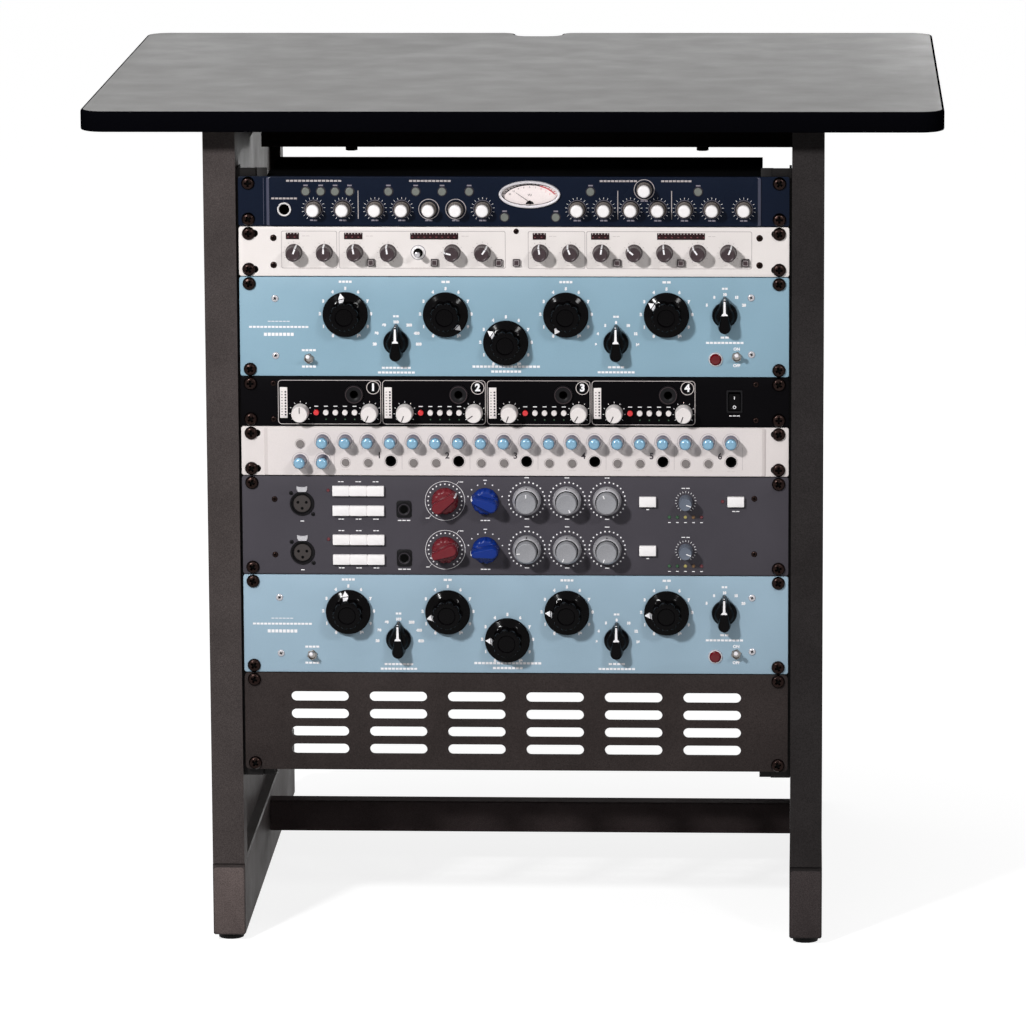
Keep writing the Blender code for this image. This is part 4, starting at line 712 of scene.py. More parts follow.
def channel_strip():
    plate, holes, controls = faceplate("channel_strip", "navy", rise=RAISED, foot=STRIP_FOOT,
                                       crown=STRIP_CROWN, trim="navy_trim")
    holes.at(*METER).prism(oval(*METER_HOLE, 0), -4, 4, "navy")
    bore(holes, *STRIP_OUTPUT)
    bore(holes, *STRIP_BYPASS)
    bore(holes, *STRIP_JACK, 5.2)
    knobs = [(x, STRIP_ROW) for x in STRIP_KNOBS] + [STRIP_HIGH_KNOB]
    for x, y in knobs:
        strip_knob(controls.at(x, y, RAISED))
    for x, y in knobs + [STRIP_OUTPUT]:
        controls.at(x, y, RAISED)
        if x in STRIP_WIDE_HOOPS:
            controls.hoop(9.1, 0.6, "ink_grey")
        else:
            controls.hoop(8.1, 0.3, "ink_dim").ticks(15, 290, 8.9, 10.5, 0.32)
        controls.rules(0, -9.9, 7, 1.3, "ink_dim")
    for x, y in STRIP_KEYS + [STRIP_BYPASS]:
        controls.at(x, y, RAISED).hoop(4.3, 0.5, "ink_dark").rules(0, 5.3, 5, 1.2, "ink_dim")
        if (x, y) != STRIP_BYPASS:
            round_key(controls, STRIP_KEY, SUNK, "key_clear")
    controls.at(0, 0, RAISED)
    for x in STRIP_DIVIDERS:
        controls.line((x, -15.3), (x, 9.7), 0.7, "ink_grey")
    for x, length in STRIP_TITLES:
        controls.rules(x, 18.3, length, 1.6, "ink_grey")
    controls.rules(STRIP_JACK[0], 2.7, 23, 1.5, "ink_grey")
    # Painted highlight lines down the ends of the raised front
    for x in STRIP_EDGE_HIGHLIGHTS:
        on_top = abs(x) < STRIP_FOOT / 2
        controls.line((x, -20.5), (x, 20.5), 0.45, "navy_trim", 0.2 if on_top else 0.1 - RAISED)
    socket(controls.at(*STRIP_JACK, RAISED), 6.1, 4.3, 1.9, "white")
    space = finish_panel("channel_strip", plate, holes, controls)
    knob = strip_knob(Form(), True)
    moving("channel_strip_output_knob", knob, space, "white_plastic", *STRIP_OUTPUT, RAISED)
    key = round_key(Form(), STRIP_KEY, KEY_BACK - RAISED, "key_clear")
    moving("channel_strip_bypass_button", key, space, "clear_grey_plastic", *STRIP_BYPASS, RAISED)
    meter(space)


# The meter's scale: an arc of printed steps, where the last ones are red
SCALE_WIDEN = 1.62
SCALE_REACH = 15.2
SCALE_START = -62
SCALE_PIVOT = -7.3
NEEDLE_REST = -55


def meter(space):
    """The oval meter: a double rim round a well with a printed scale, and its needle."""
    rings = ((50.6, 21, -9.9), (50.6, 21, 2.3), (53.9, 24.3, 2.3), (54, 24.4, 3.2), (53.4, 23.8, 4.4),
             (52.2, 22.6, 4.9), (51.2, 21.6, 4.6), (50.6, 21, 3.8), (50.2, 20.6, 3.9), (49.4, 19.8, 3.7),
             (49, 19.2, 2.6), (48.6, 19, -0.95))
    looks = ["case"] + ["rim"] * 9 + ["satin_black", "dial_face"]
    cup = Form().at(*METER).loft([oval(*row) for row in rings], looks)
    cup.at(METER[0], METER[1] + SCALE_PIVOT, -0.9)

    def spot(reach, angle):
        x, y = polar(reach, angle)
        return x * SCALE_WIDEN, y

    for step in range(24):
        start = SCALE_START + step * 5.2
        low = step < 16
        cup.line(spot(SCALE_REACH, start), spot(SCALE_REACH, start + 5.2), 0.7 if low else 1.2,
                 "ink_dark" if low else "ink_red")
    for step in range(19):
        turn = SCALE_START + step * 7.3
        reach = SCALE_REACH + (1 if step % 2 else 1.8)
        cup.line(spot(SCALE_REACH, turn), spot(reach, turn), 0.6, "ink_dark" if step < 12 else "ink_red")
    for step, text in enumerate(("20", "10", "7", "5", "3", "1", "0", "2", "3")):
        x, y = polar(SCALE_REACH - 2.1, -58 + step * 14.5)
        cup.words(text, x * SCALE_WIDEN * 0.97, y, 1.5, "ink_dark" if step < 6 else "ink_red")
    cup.words("VU", 0, 6.2, 2, "ink_dark")
    turns = [pi * step / 12 for step in range(13)]
    cover = [(3.4 * cos(turn), -1.6 + 2.8 * sin(turn)) for turn in turns]
    cup.prism(cover, -0.2, 0.35, "satin_black")
    piece("vu_meter_form", cup, space, replaces=("vu_meter",))
    needle = Form().turn(((1.6, 0), (1.6, 0.45), (1.2, 0.6)), "black", 20)
    needle.prism(((-0.25, 0.6), (0.25, 0.6), (0.12, 15), (-0.12, 15)), 0.05, 0.5, "charcoal")
    moving("vu_needle", needle, space, "black_plastic", METER[0], METER[1] + SCALE_PIVOT, -0.4, NEEDLE_REST)


# The dynamics processor

DYNAMICS_ROW = -0.8
DYNAMICS_KNOBS = (-192.8, -166, -139.3, -110, -53.8, -27.3, 23.3, 50, 76.7, 105.6, 132.3, 161.3)
DYNAMICS_TURNS = (20, 0, -10, -8, -75, 35, -8, -20, 8, -50, -8, -35)
DYNAMICS_OUTPUT = (188.1, DYNAMICS_ROW)
DYNAMICS_BARE_X = -83.6
DYNAMICS_KEY_ROW = -9.5
DYNAMICS_KEYS = (-125.2, -69.4, -12.9, 2.6, 90.7, 146.5)
DYNAMICS_BYPASS = (203, DYNAMICS_KEY_ROW)
DYNAMICS_WINDOWS = ((-199.8, -188.2), (-148.6, -132.4), (-90.4, -48.4), (16.9, 28.5), (67.9, 84),
                    (125.8, 167.5))
DYNAMICS_FRAMES = ((-203.9, -154.8), (-153.2, -7), (12.7, 62.8), (63.9, 208.7))
DYNAMICS_FRAME_HEIGHT = 33.2
DYNAMICS_REST = 22
DYNAMICS_SCREWS = ((-210.8, 12), (-210.8, -12), (215.3, 12.3), (215.3, -11.7))


def small_key(form, back):
    """A square key with a pale frame round its middle."""
    form.block(6.3, 6.3, back, 3, "key_dark", 0.6).block(3.9, 3.9, 2.6, 3.15, "charcoal", 0.4, 0.1)
    return form.frame(4.6, 4.6, 0.5, 0.35, "ink_grey", 3.02, 2)


def window(form, width):
    """A dark lamp window, with light marks along its top edge and tinted ones inside."""
    form.block(width, 5.8, SUNK, 0.5, "window", 0.4, 0.2)
    marks = round(width / 2.7)
    for mark in range(marks):
        x = (mark + 0.5) * width / marks - width / 2
        form.line((x, 1.7), (x, 2.7), 0.75, "ink_pale", 0.42)
        if mark % 2 == 0:
            form.line((x - 0.2, -0.9), (x + 1.2, -0.9), 1, "led_red", 0.5)


def dynamics():
    plate, holes, controls = faceplate("dynamics", "cream")
    ear_slots(holes, "dynamics")
    bore(holes, *DYNAMICS_OUTPUT)
    # The key's hole, its walls painted black as shade
    holes.at(*DYNAMICS_BYPASS).prism(slab(7, 7, 0.4, 0, 2), -4, 3, "void")
    for x, turn in zip(DYNAMICS_KNOBS, DYNAMICS_TURNS):
        dynamics_knob(controls.at(x, DYNAMICS_ROW, 0, turn))
    for x in (*DYNAMICS_KNOBS, DYNAMICS_OUTPUT[0]):
        controls.at(x, DYNAMICS_ROW).ticks(11, 300, 8.6, 9.9, 0.3, "ink_grey")
        controls.rules(0, -11.2, 8, 0.5, "ink_pale")
    controls.at(DYNAMICS_BARE_X, DYNAMICS_ROW)
    controls.turn(((6.6, SUNK), (6.6, 0.1), (6.1, 0.15), (6, 0.8), (5.7, 1)),
                  ["ink_dim"] * 2 + ["white"] * 4, 36)
    controls.turn(((5, 0), (5, 1.9), (4.5, 2.3)), "white", 6)
    # The nut's top, the gap round the shaft and the shaft's side are painted black as shade
    controls.turn(((4.2, 1), (4.1, 2.8), (3.6, 3), (3, 3), (2.6, 3.1), (2.6, 14), (2.2, 14.8),
                   (1.6, 15), (1.3, 14.2)), ["silver"] + ["void"] * 4 + ["silver"] * 4, 32)
    for x in DYNAMICS_KEYS:
        small_key(controls.at(x, DYNAMICS_KEY_ROW), SUNK)
    for left, right in DYNAMICS_WINDOWS:
        window(controls.at((left + right) / 2, 13.75), right - left)
        controls.rules((right - left) / 2 + 6, 0, 7, 0.6, "ink_pale")
    for left, right in DYNAMICS_FRAMES:
        controls.at((left + right) / 2, 1.6)
        controls.frame(right - left, DYNAMICS_FRAME_HEIGHT, 1.5, 0.45, "ink_grey")
        controls.rules(0, -16.4, 21, 1.3, "ink_pale", 0.05)
    for x, y in DYNAMICS_SCREWS:
        small_screw(controls, x, y, 2.9)
    small_screw(controls, 2.4, 18.1, 2.4)
    space = finish_panel("dynamics", plate, holes, controls)
    knob = dynamics_knob(Form(), True)
    moving("dynamics_output_knob", knob, space, "grey_plastic", *DYNAMICS_OUTPUT, 0, DYNAMICS_REST)
    moving("dynamics_bypass_button", small_key(Form(), KEY_BACK), space, "black_plastic", *DYNAMICS_BYPASS)


# The two equalizers. Each caption is a height and the length of its rules.

EQ_HIGH = 11.3
EQ_LOW = -13.7
EQ_DIALS = (("low_gain", -148, EQ_HIGH), ("low_mid_gain", -59.8, EQ_HIGH), ("mid_gain", -7, EQ_LOW),
            ("high_mid_gain", 45.8, EQ_HIGH), ("high_gain", 134, EQ_HIGH))
EQ_CAPTIONS = (((28.6, 12),), ((28.6, 8),), ((-21.6, 60), (-26, 27)), ((28.6, 12),), ((28.6, 8),))
EQ_SELECTORS = (("low_band", -103.7, EQ_LOW, ("20", "30", "60", "100", "200", "400", "800"), 192,
                 ((-22.9, 26), (-27.1, 33))),
                ("high_band", 89.7, EQ_LOW, ("3", "4", "5", "8", "10", "12", "16"), 192,
                 ((-21.9, 15), (-26.4, 33))),
                ("output", 185, EQ_HIGH, ("5", "8", "10", "15", "20"), 124, ((-20.3, 8), (-25, 33.5))))
EQ_TOGGLES = (("range", -180.7, -28.5), ("power", 195.5, -26.2))
EQ_LAMP = (177, -28.4)
EQ_TITLE_X = -207
EQ_UPPER = (-12, 135, -55, -150, -55)
EQ_LOWER = (-8, -107, -90, -90, -95)
UPPER_SCREWS = ((-210, 24.9), (-209.9, -25.9), (208.1, 26.3), (208.5, -24.1))
LOWER_SCREWS = ((-209.2, 23.5), (-208.4, -27.1), (209.4, 24.7), (209.6, -23.9))
TOGGLE_TILT = -12
DIAL_RING = 22.5
SELECTOR_RING = 17.8


def equalizer(device, look, rests, screws):
    """One equalizer, with where its dials rest and where its screws are."""
    plate, holes, controls = faceplate(device, look)
    for (_, x, y), captions in zip(EQ_DIALS, EQ_CAPTIONS):
        bore(holes, x, y)
        controls.at(x, y)
        for number in range(11):
            controls.words(str(number), *polar(DIAL_RING, -150 + number * 30), 2.4, bold=0.16)
        for line, length in captions:
            controls.rules(0, line, length, 2)
    for _, x, y, labels, sweep, captions in EQ_SELECTORS:
        bore(holes, x, y)
        controls.at(x, y)
        last = len(labels) - 1
        for step, label in enumerate(labels):
            px, py = polar(SELECTOR_RING, sweep * (step / last - 0.5))
            widen = 1.1 * (len(label) - 1) * round(px / SELECTOR_RING)
            controls.words(label, px + widen, py, 2.3, bold=0.13)
        controls.rules(0, 23, 5.5, 1.8)
        for line, length in captions:
            controls.rules(0, line, length, 1.8)
    for _, x, y in EQ_TOGGLES:
        # The toggles' holes and the insides of their bushings are painted black as shade
        holes.at(x, y).turn(((3.6, -4), (3.6, 3)), "void", 24)
        controls.at(x, y, 0, 12).turn(((4.7, SUNK), (4.7, 1.2), (4.3, 1.6)), "steel", 6)
        controls.turn(((3.5, 1), (3.5, 4.7), (3.4, 5), (3.2, 5), (3.1, 4.6), (3.1, -2.2)),
                      ["steel"] * 4 + ["void"] * 2, 32)
    controls.at(*EQ_TOGGLES[0][1:]).rules(0, 7.4, 13, 1.8).rules(0, -7.2, 13, 1.8)
    controls.at(EQ_TITLE_X, 0).rules(0, 4.6, 20, 0.6).rules(0, -0.4, 53, 1.7).rules(0, -7, 27, 2.8)
    controls.at(*EQ_LAMP).turn(((6.4, SUNK), (6.4, 0.6), (6.1, 1.2), (5.4, 1.4)), "silver", 40)
    controls.turn(((5.4, 1), (5.3, 1.9), (4, 3.3), (2.4, 3.5)), "lens_red", 12)
    controls.at(*EQ_TOGGLES[1][1:]).words("ON", 0, 6.9, 2.6, bold=0.06)
    controls.words("OFF", 0, -7.8, 2.6, bold=0.06)
    for x, y in screws:
        small_screw(controls, x, y, 3.2, "silver", x)
    space = finish_panel(device, plate, holes, controls)
    for (word, x, y), rest in zip(EQ_DIALS, rests):
        moving(f"{device}_{word}_knob", dial(Form()), space, "black_plastic", x, y, 0, rest)
    for word, x, y, *_ in EQ_SELECTORS:
        moving(f"{device}_{word}_selector", selector(Form()), space, "black_plastic", x, y)
    for word, x, y in EQ_TOGGLES:
        bat = Form().at(0, 0, SWING_DEPTH)
        bat.turn(((0.8, -1.8), (1.5, -1.2), (1.85, 0), (1.5, 1.1), (1, 1.6), (1, 5), (1.4, 9.5),
                  (1.9, 13), (1.8, 13.9), (1.3, 14.4), (0.6, 14.5)), "rim", 24)
        moving(f"{device}_{word}_toggle", bat, space, "chrome", x, y, -SWING_DEPTH, tilt=TOGGLE_TILT)


# The quad unit

MODULES = [-208.7 + 92.2 * index for index in range(4)]
MODULE_ROW = -9.8
MODULE_KNOBS = (20, 81.1)
MODULE_RED_KEY = 34.0
MODULE_KEYS = [42.5 + 8.45 * step for step in range(4)]
MODULE_KNOB = (7.7, 14, "ivory", 24, "ink_dark", 0.2)
MODULE_KEY = (2.4, 3.1)
MODULE_JACK = (67.4, 6.2)
MODULE_FRAME = (91, 39.5)
MODULE_MIDDLE = (45.75, -0.75)
MODULE_LADDER = (5.3, -1.2)
MODULE_NUMBER = (84.3, 12.3)
MODULE_TURNS = ((-80, -155), (-160, -125), (-160, -150), (-155, -160))
ROCKER = (193.6, 0.8)
ROCKER_TILT = 7
QUAD_SCREWS = ((-212.4, 16), (-212.4, -16), (212.4, 16), (212.4, -16))


def module(controls, index, left):
    """One of the four equal modules, but for the knob and the key that move."""
    def border(inset, z):
        return slab(MODULE_FRAME[0] - 2 * inset, MODULE_FRAME[1] - 2 * inset, 3.2 - inset, z)

    controls.at(left + MODULE_MIDDLE[0], MODULE_MIDDLE[1]).band(border, 0.45, "ink_pale")
    for place, turn in zip(MODULE_KNOBS, MODULE_TURNS[index]):
        controls.at(left + place, MODULE_ROW).ticks(9, 260, 8.8, 10, 0.45)
        if index or place != MODULE_KNOBS[0]:
            plain_knob(controls.at(left + place, MODULE_ROW, 0, turn), *MODULE_KNOB)
    controls.at(left + MODULE_RED_KEY, MODULE_ROW).rules(0, 5.4, 4.4, 0.7)
    if index:
        round_key(controls, MODULE_KEY, SUNK, "key_red")
    for place in MODULE_KEYS:
        round_key(controls.at(left + place, MODULE_ROW), MODULE_KEY, SUNK, "ivory")
        controls.rules(0, 5.4, 4.4, 0.7).dot(0, -6.3, 0.6, "led_green")
    socket(controls.at(left + MODULE_JACK[0], MODULE_JACK[1]), 8.4, 3.4, 2, "satin_black")
    controls.hoop(7.6, 0.5, "charcoal", 1.95)
    controls.at(left + MODULE_LADDER[0], MODULE_LADDER[1]).block(6.6, 27.6, SUNK, 0.4, "ivory", 0.4, 0.15)
    for lamp in range(9):
        level = 9.6 - lamp * 2.55
        controls.dot(1.6, level, 0.85, "ink_dark", 0.4)
        controls.line((-2.2, level), (-0.8, level), 0.5, "ink_dark", 0.4)
    controls.at(left + MODULE_NUMBER[0], MODULE_NUMBER[1]).hoop(5.9, 0.55, "ink_pale")
    controls.words(str(index + 1), 0, 0.1, 6.4, bold=0.07)


def quad_unit():
    plate, holes, controls = faceplate("quad_unit", "black_paint")
    level = (MODULES[0] + MODULE_KNOBS[0], MODULE_ROW)
    mute = (MODULES[0] + MODULE_RED_KEY, MODULE_ROW)
    bore(holes, *level)
    bore(holes, *mute, MODULE_KEY[0] + 0.4)
    # The rocker's hole, its walls painted black as shade
    holes.at(*ROCKER).prism(slab(10.4, 18, 0.5, 0, 2), -4, 3, "void")
    for index, left in enumerate(MODULES):
        bore(holes, left + MODULE_JACK[0], MODULE_JACK[1], 5.4)
        module(controls, index, left)
    controls.at(*ROCKER)
    steps = ((0, SUNK), (0, 0.9), (0.3, 1.2), (1.4, 1.2), (1.6, 1), (1.6, SUNK))
    controls.loft([slab(14.2 - 2 * inset, 20.2 - 2 * inset, 1.2 - inset * 0.4, z, 3) for inset, z in steps],
                  "satin_black", True)
    controls.rules(0, -12.8, 10, 0.7)
    for x, y in QUAD_SCREWS:
        small_screw(controls, x, y, 2.6)
    space = finish_panel("quad_unit", plate, holes, controls)
    moving("quad_unit_level_knob", plain_knob(Form(), *MODULE_KNOB, True), space, "white_plastic", *level)
    moving("quad_unit_mute_button", round_key(Form(), MODULE_KEY, KEY_BACK, "key_red"), space,
           "red_plastic", *mute)
    rocker = Form().at(0, 0, SWING_DEPTH)
    profile = ((-7.7, -1.6), (-7.7, 1.5), (-7.2, 1.8), (-3.6, 1.3), (0, 1), (3.6, 1.3), (7.2, 1.8),
               (7.7, 1.5), (7.7, -1.6))
    rocker.loft([[(x, y, z) for y, z in profile] for x in (-4.7, 4.7)], "black")
    rocker.line((0, 2.7), (0, 5.3), 0.8, z=1.5)
    rocker.at(0, -4.4, SWING_DEPTH).hoop(1.5, 0.6, "ink_white", 1.55, 24)
    moving("quad_unit_power_rocker", rocker, space, "black_plastic", *ROCKER, -SWING_DEPTH,
           tilt=ROCKER_TILT)


# The headphone amplifier

COLUMN_PITCH = 20
COLUMNS = [(index - 9.5) * COLUMN_PITCH + 0.7 for index in range(20)]
AMP_HIGH = 9.3
AMP_LOW = -8.6
AMP_KEY_ROW = -10.2
AMP_KEY = (3.55, 1.3)
AMP_MUTE = (3.2, 2.1)
AMP_FOOT = 443.0
AMP_CROWN = 433.0
AMP_POWER_Y = 6.5
AMP_PITCH = 60.05
AMP_FIRST_NUMBER = -119.3


def amp_knob(form, moves=False):
    """A pearly dome on a softly fluted side painted dark, as a reflection of the shaded desk underside
    above it.
    """
    profile = ((5.9, 1), (5.8, 2, 18, 0.25), (5.45, 10.6, 18, 0.25), (5.3, 12.2, 18, 0.2), (5.1, 13.4),
               (4.7, 14.6), (3.9, 15.5), (2.6, 15.9), (1.2, 16))
    return turned_knob(form, profile, "pearl_side_painted_reflection", moves, 54, ["pearl"] * 5)


def headphone_amp():
    jacks = COLUMNS[4::3]
    low_keys = [x for x in COLUMNS[2:] if x not in jacks]
    knobs = [(x, AMP_HIGH) for x in COLUMNS[1:]] + [(x, AMP_LOW) for x in COLUMNS[:2]]
    volume = knobs[0]
    # The raised cover's slopes take the pale ink, a painted shade along its steps
    plate, holes, controls = faceplate("headphone_amp", "amp_cream", rise=AMP_RAISED, foot=AMP_FOOT,
                                       crown=AMP_CROWN, trim="ink_pale")
    ear_slots(holes, "headphone_amp")
    bore(holes, *volume)
    bore(holes, low_keys[0], AMP_KEY_ROW, 3.4)
    for x in jacks:
        bore(holes, x, AMP_LOW, 4.4)
    for x, y in knobs:
        controls.at(x, y, AMP_RAISED).hoop(7.5, 0.35, "ink_grey")
        controls.ticks(2, 290, 7.6, 8.8, 0.35, "ink_grey")
        if (x, y) != volume:
            amp_knob(controls)
    for x, y in [(COLUMNS[0], AMP_POWER_Y)] + [(x, AMP_KEY_ROW) for x in low_keys]:
        controls.at(x, y, AMP_RAISED).hoop(4.6, 0.4, "ink_grey").rules(0, -6.3, 8, 0.45, "ink_pale")
        if x != low_keys[0]:
            round_key(controls, AMP_KEY, SUNK, "key_soft")
    for x in jacks:
        socket(controls.at(x, AMP_LOW, AMP_RAISED), 4.85, 3.9, 0.7, "satin_black")
        controls.hoop(6, 0.35, "ink_grey").rules(0, -8.4, 8, 0.45, "ink_pale")
    for index in range(7):
        controls.at(COLUMNS[1] + COLUMN_PITCH * (3 * index + 0.5), -6, AMP_RAISED)
        controls.line((0, -10), (0, 10.5), 0.3, "ink_grey")
    for index in range(6):
        controls.at(AMP_FIRST_NUMBER + AMP_PITCH * index, -3.8, AMP_RAISED)
        controls.words(str(index + 1), 0, 0, 5.6, "ink_dark", bold=0.03)
    space = finish_panel("headphone_amp", plate, holes, controls)
    knob = amp_knob(Form(), True)
    moving("headphone_amp_volume_knob", knob, space, "pale_blue_plastic", *volume, AMP_RAISED)
    key = round_key(Form(), AMP_MUTE, KEY_BACK, "key_soft")
    moving("headphone_amp_mute_button", key, space, "grey_plastic", low_keys[0], AMP_KEY_ROW)


# The dual preamplifier

CHANNELS = (("upper", 22.2, 55, -70), ("lower", -21.8, -110, -95))
SOCKET_PLACE = (-188.2, -3)
BLOCK_KEYS = (-153.7, -138.3, -122.9)
BLOCK_ROWS = (-8.9, 8.9)
GAIN_X = -61.7
OUTPUT_X = -26.2
DUAL_JACK = (-98, -7.6)
STACKS = (10.6, 46.1, 81.5)
STACK_TURNS = ((160, 155, -20), (-95, -155, -160))
FILTER = (STACKS[0], 23.2)
WIDE_KEY = (14.8, 9)
WIDE_KEY_X = 117.3
WIDE_KEY_TOP = 3.6
LEVEL_X = 150.8
LEVEL_TURN = 110
POWER_KEY = (194.9, 22.4)
POWER_LAMP_X = 183.3
GAIN_RING = 17.7
LADDER_START = 136.4
LADDER_PITCH = 7.08
LADDER = ("led_green", "led_green", "led_yellow", "led_amber", "led_red")
DUAL_SCREWS = ((-212.5, 23.3), (-212.5, -26.7), (211.2, 25.1), (211.2, -24.7))


def microphone_socket(form, x, y):
    """A round three-pole socket with its latch above it."""
    profile = ((10.9, -2), (10.9, 0.5), (10.5, 1), (9.7, 1), (9.4, 0.6), (9.2, -10), (7.7, -10),
               (7.7, -0.4), (7.4, 0))
    # The deep gap round the insert and the pin holes are painted black as shade
    form.at(x, y).turn(profile, ["satin_black"] * 5 + ["void"] * 2 + ["insert"] * 2, 48)
    for px, py in ((-3.7, 1.2), (3.7, 1.2), (0, -4.2)):
        form.dot(px, py, 1.3, "void", 0.02, 16)
    latch = ((-4.75, 13.2), (-3.6, 10.6), (3.6, 10.6), (4.75, 13.2), (4.75, 16), (2.4, 15.2),
             (-2.4, 15.2), (-4.75, 16))
    form.loft([[(px * size, 13.3 + (py - 13.3) * size, z) for px, py in latch]
               for size, z in ((1, -0.5), (1, 1.1), (0.9, 1.5))], "silver")
    form.rules(0, -15.6, 4, 0.8)


def small_lamp(form, x, y, look):
    form.at(x, y).turn(((1.5, SUNK), (1.5, 0.4), (1, 1.1)), look, 20)


def preamp_channel(controls, row, y):
    """One of the two equal rows, but for the knobs and the key that move."""
    microphone_socket(controls, SOCKET_PLACE[0], y + SOCKET_PLACE[1])
    small_screw(controls, -197.9, y + 6.5, 1.9, "satin_black")
    small_screw(controls, -178.6, y - 12.4, 1.9, "satin_black")
    for rise in BLOCK_ROWS:
        controls.at(BLOCK_KEYS[1], y + rise).block(45, 8, SUNK, 2.9, "white", 0.5, 0.2)
        for x in BLOCK_KEYS:
            controls.at(x, y + rise).block(14.9, 8.9, SUNK, WIDE_KEY_TOP, "white", 0.5, 0.5)
            controls.rules(0, 8 if rise > 0 else -7.8, 5.5, 0.8)
    small_lamp(controls, -165, y + 9.1, "led_red")
    controls.at(DUAL_JACK[0], y + DUAL_JACK[1]).block(13.4, 15.4, SUNK, 1, "satin_black", 2.5, 0.5)
    socket(controls, 6.5, 3.4, 2.1, "satin_black")
    # A black disc over the jack's opening is painted shade
    controls.hoop(5, 0.5, "ink_dark", 2.15).dot(0, 0, 3.4, "void", 1.1, 32).rules(0, -10.1, 11.7, 0.9)
    controls.at(GAIN_X, y).dots(21, 300, 15, 0.7).hoop(GAIN_RING, 0.35, "ink_white", 0, 64)
    for angle, reach in ((35, 21.5), (-137, 20.5)):
        controls.line(polar(GAIN_RING, angle), polar(reach, angle), 0.35)
    controls.rules(14.5, 17, 4, 0.8).rules(-15.5, -15.6, 4, 0.8)
    controls.at(OUTPUT_X, y).dots(7, 150, 15.6, 0.65).rules(0, -17.5, 9, 0.9).rules(0, 18.6, 4, 0.8)
    for x, turn in zip(STACKS, STACK_TURNS[row]):
        controls.at(x, y + 1).dots(24, 320, 16, 0.75).rules(0, 20, 5, 0.8).rules(0, -17, 5, 0.8)
        if (x, y + 1) != FILTER:
            stack_ring(controls)
            stack_top(controls.at(x, y + 1, 0, turn))
    controls.at(WIDE_KEY_X, y).block(*WIDE_KEY, SUNK, WIDE_KEY_TOP, "white", 0.5, 0.5)
    controls.rules(0, -7.2, 3, 0.8)
    controls.at(LEVEL_X, y).ticks(19, 300, 8, 9.4, 0.45).rules(0, 12, 8, 0.8)
    plain_knob(controls.at(LEVEL_X, y, 0, LEVEL_TURN), 6.2, 16, "steel_blue", 16, "ink_white", 0.3)
    for lamp, look in enumerate(LADDER):
        small_lamp(controls, LADDER_START + lamp * LADDER_PITCH, y - 13.9, look)
        controls.rules(0, -4.8, 3, 0.7)


def dual_preamp():
    plate, holes, controls = faceplate("dual_preamp", "slate")
    for row, (_, y, _, _) in enumerate(CHANNELS):
        bore(holes, GAIN_X, y)
        bore(holes, OUTPUT_X, y)
        bore(holes, SOCKET_PLACE[0], y + SOCKET_PLACE[1], 9.5)
        bore(holes, DUAL_JACK[0], y + DUAL_JACK[1], 5)
        preamp_channel(controls, row, y)
    bore(holes, *FILTER)
    # The power key's hole, its walls painted black as shade
    holes.at(*POWER_KEY).prism(slab(15.6, 9.8, 0.4, 0, 2), -4, 4, "void")
    controls.at(*POWER_KEY).rules(0, -8.8, 7, 0.8)
    small_lamp(controls, POWER_LAMP_X, POWER_KEY[1], "led_red")
    for x, y in DUAL_SCREWS:
        small_screw(controls, x, y, 2.6)
    space = finish_panel("dual_preamp", plate, holes, controls)
    for word, y, gain, output in CHANNELS:
        for label, x, look, rest in (("gain", GAIN_X, "red", gain), ("output", OUTPUT_X, "blue", output)):
            knob = wing(Form(), look)
            moving(f"dual_preamp_{word}_{label}_knob", knob, space, f"{look}_plastic", x, y, 0, rest)
    moving("dual_preamp_filter_ring_knob", stack_ring(Form()), space, "grey_plastic", *FILTER)
    moving("dual_preamp_filter_knob", stack_top(Form()), space, "grey_plastic", *FILTER)
    key = Form().block(*WIDE_KEY, KEY_BACK, WIDE_KEY_TOP, "white", 0.5, 0.5)
    moving("dual_preamp_power_button", key, space, "white_plastic", *POWER_KEY)


# The vent panel

SLOT_SIZE = (51, 9)
SLOT_PITCH = (69.7, 15.9)
SLOTS_MIDDLE = -1.2
# Width and height of the folded edges behind the panel, and how far back they reach
HEM = (440, 2.8, -12)


def vent_panel():
    plate, holes, controls = faceplate("vent_panel", "powder", 4)
    for column in range(6):
        for row in range(4):
            holes.at((column - 2.5) * SLOT_PITCH[0], SLOTS_MIDDLE + (row - 1.5) * SLOT_PITCH[1])
            holes.prism(slab(*SLOT_SIZE, SLOT_SIZE[1] / 2, 0, 8), -4, 3, "powder")
    for side in (-1, 1):
        controls.at(0, side * (HEIGHTS["vent_panel"] / 2 - 1.5))
        controls.block(*HEM, -2.9, "powder", 0.4, 0.1)
    finish_panel("vent_panel", plate, holes, controls)


# The desk and its side frames

def top_outline(inset, z):
    """The desk top's outline with its cable notch, drawn in by an inset."""
    half, back, notch = DESK_HIGH.x, DESK_HIGH.y, NOTCH_WIDTH / 2
    front = DESK_LOW.y
    convex = TOP_CORNER - inset
    arcs = ((half - TOP_CORNER, front + TOP_CORNER, convex, -90, 0),
            (half - TOP_CORNER, back - TOP_CORNER, convex, 0, 90),
            (notch + NOTCH_LIP, back - NOTCH_LIP, NOTCH_LIP - inset, 90, 180),
            (notch - NOTCH_CORNER, back - NOTCH_DEPTH + NOTCH_CORNER, NOTCH_CORNER + inset, 0, -90))
    points = []
    for x, y, radius, start, end in arcs:
        for step in range(11):
            turn = radians(start + (end - start) * step / 10)
            points.append((x + radius * cos(turn), y + radius * sin(turn), z))
    return points + [(-x, y, z) for x, y, _ in reversed(points)]


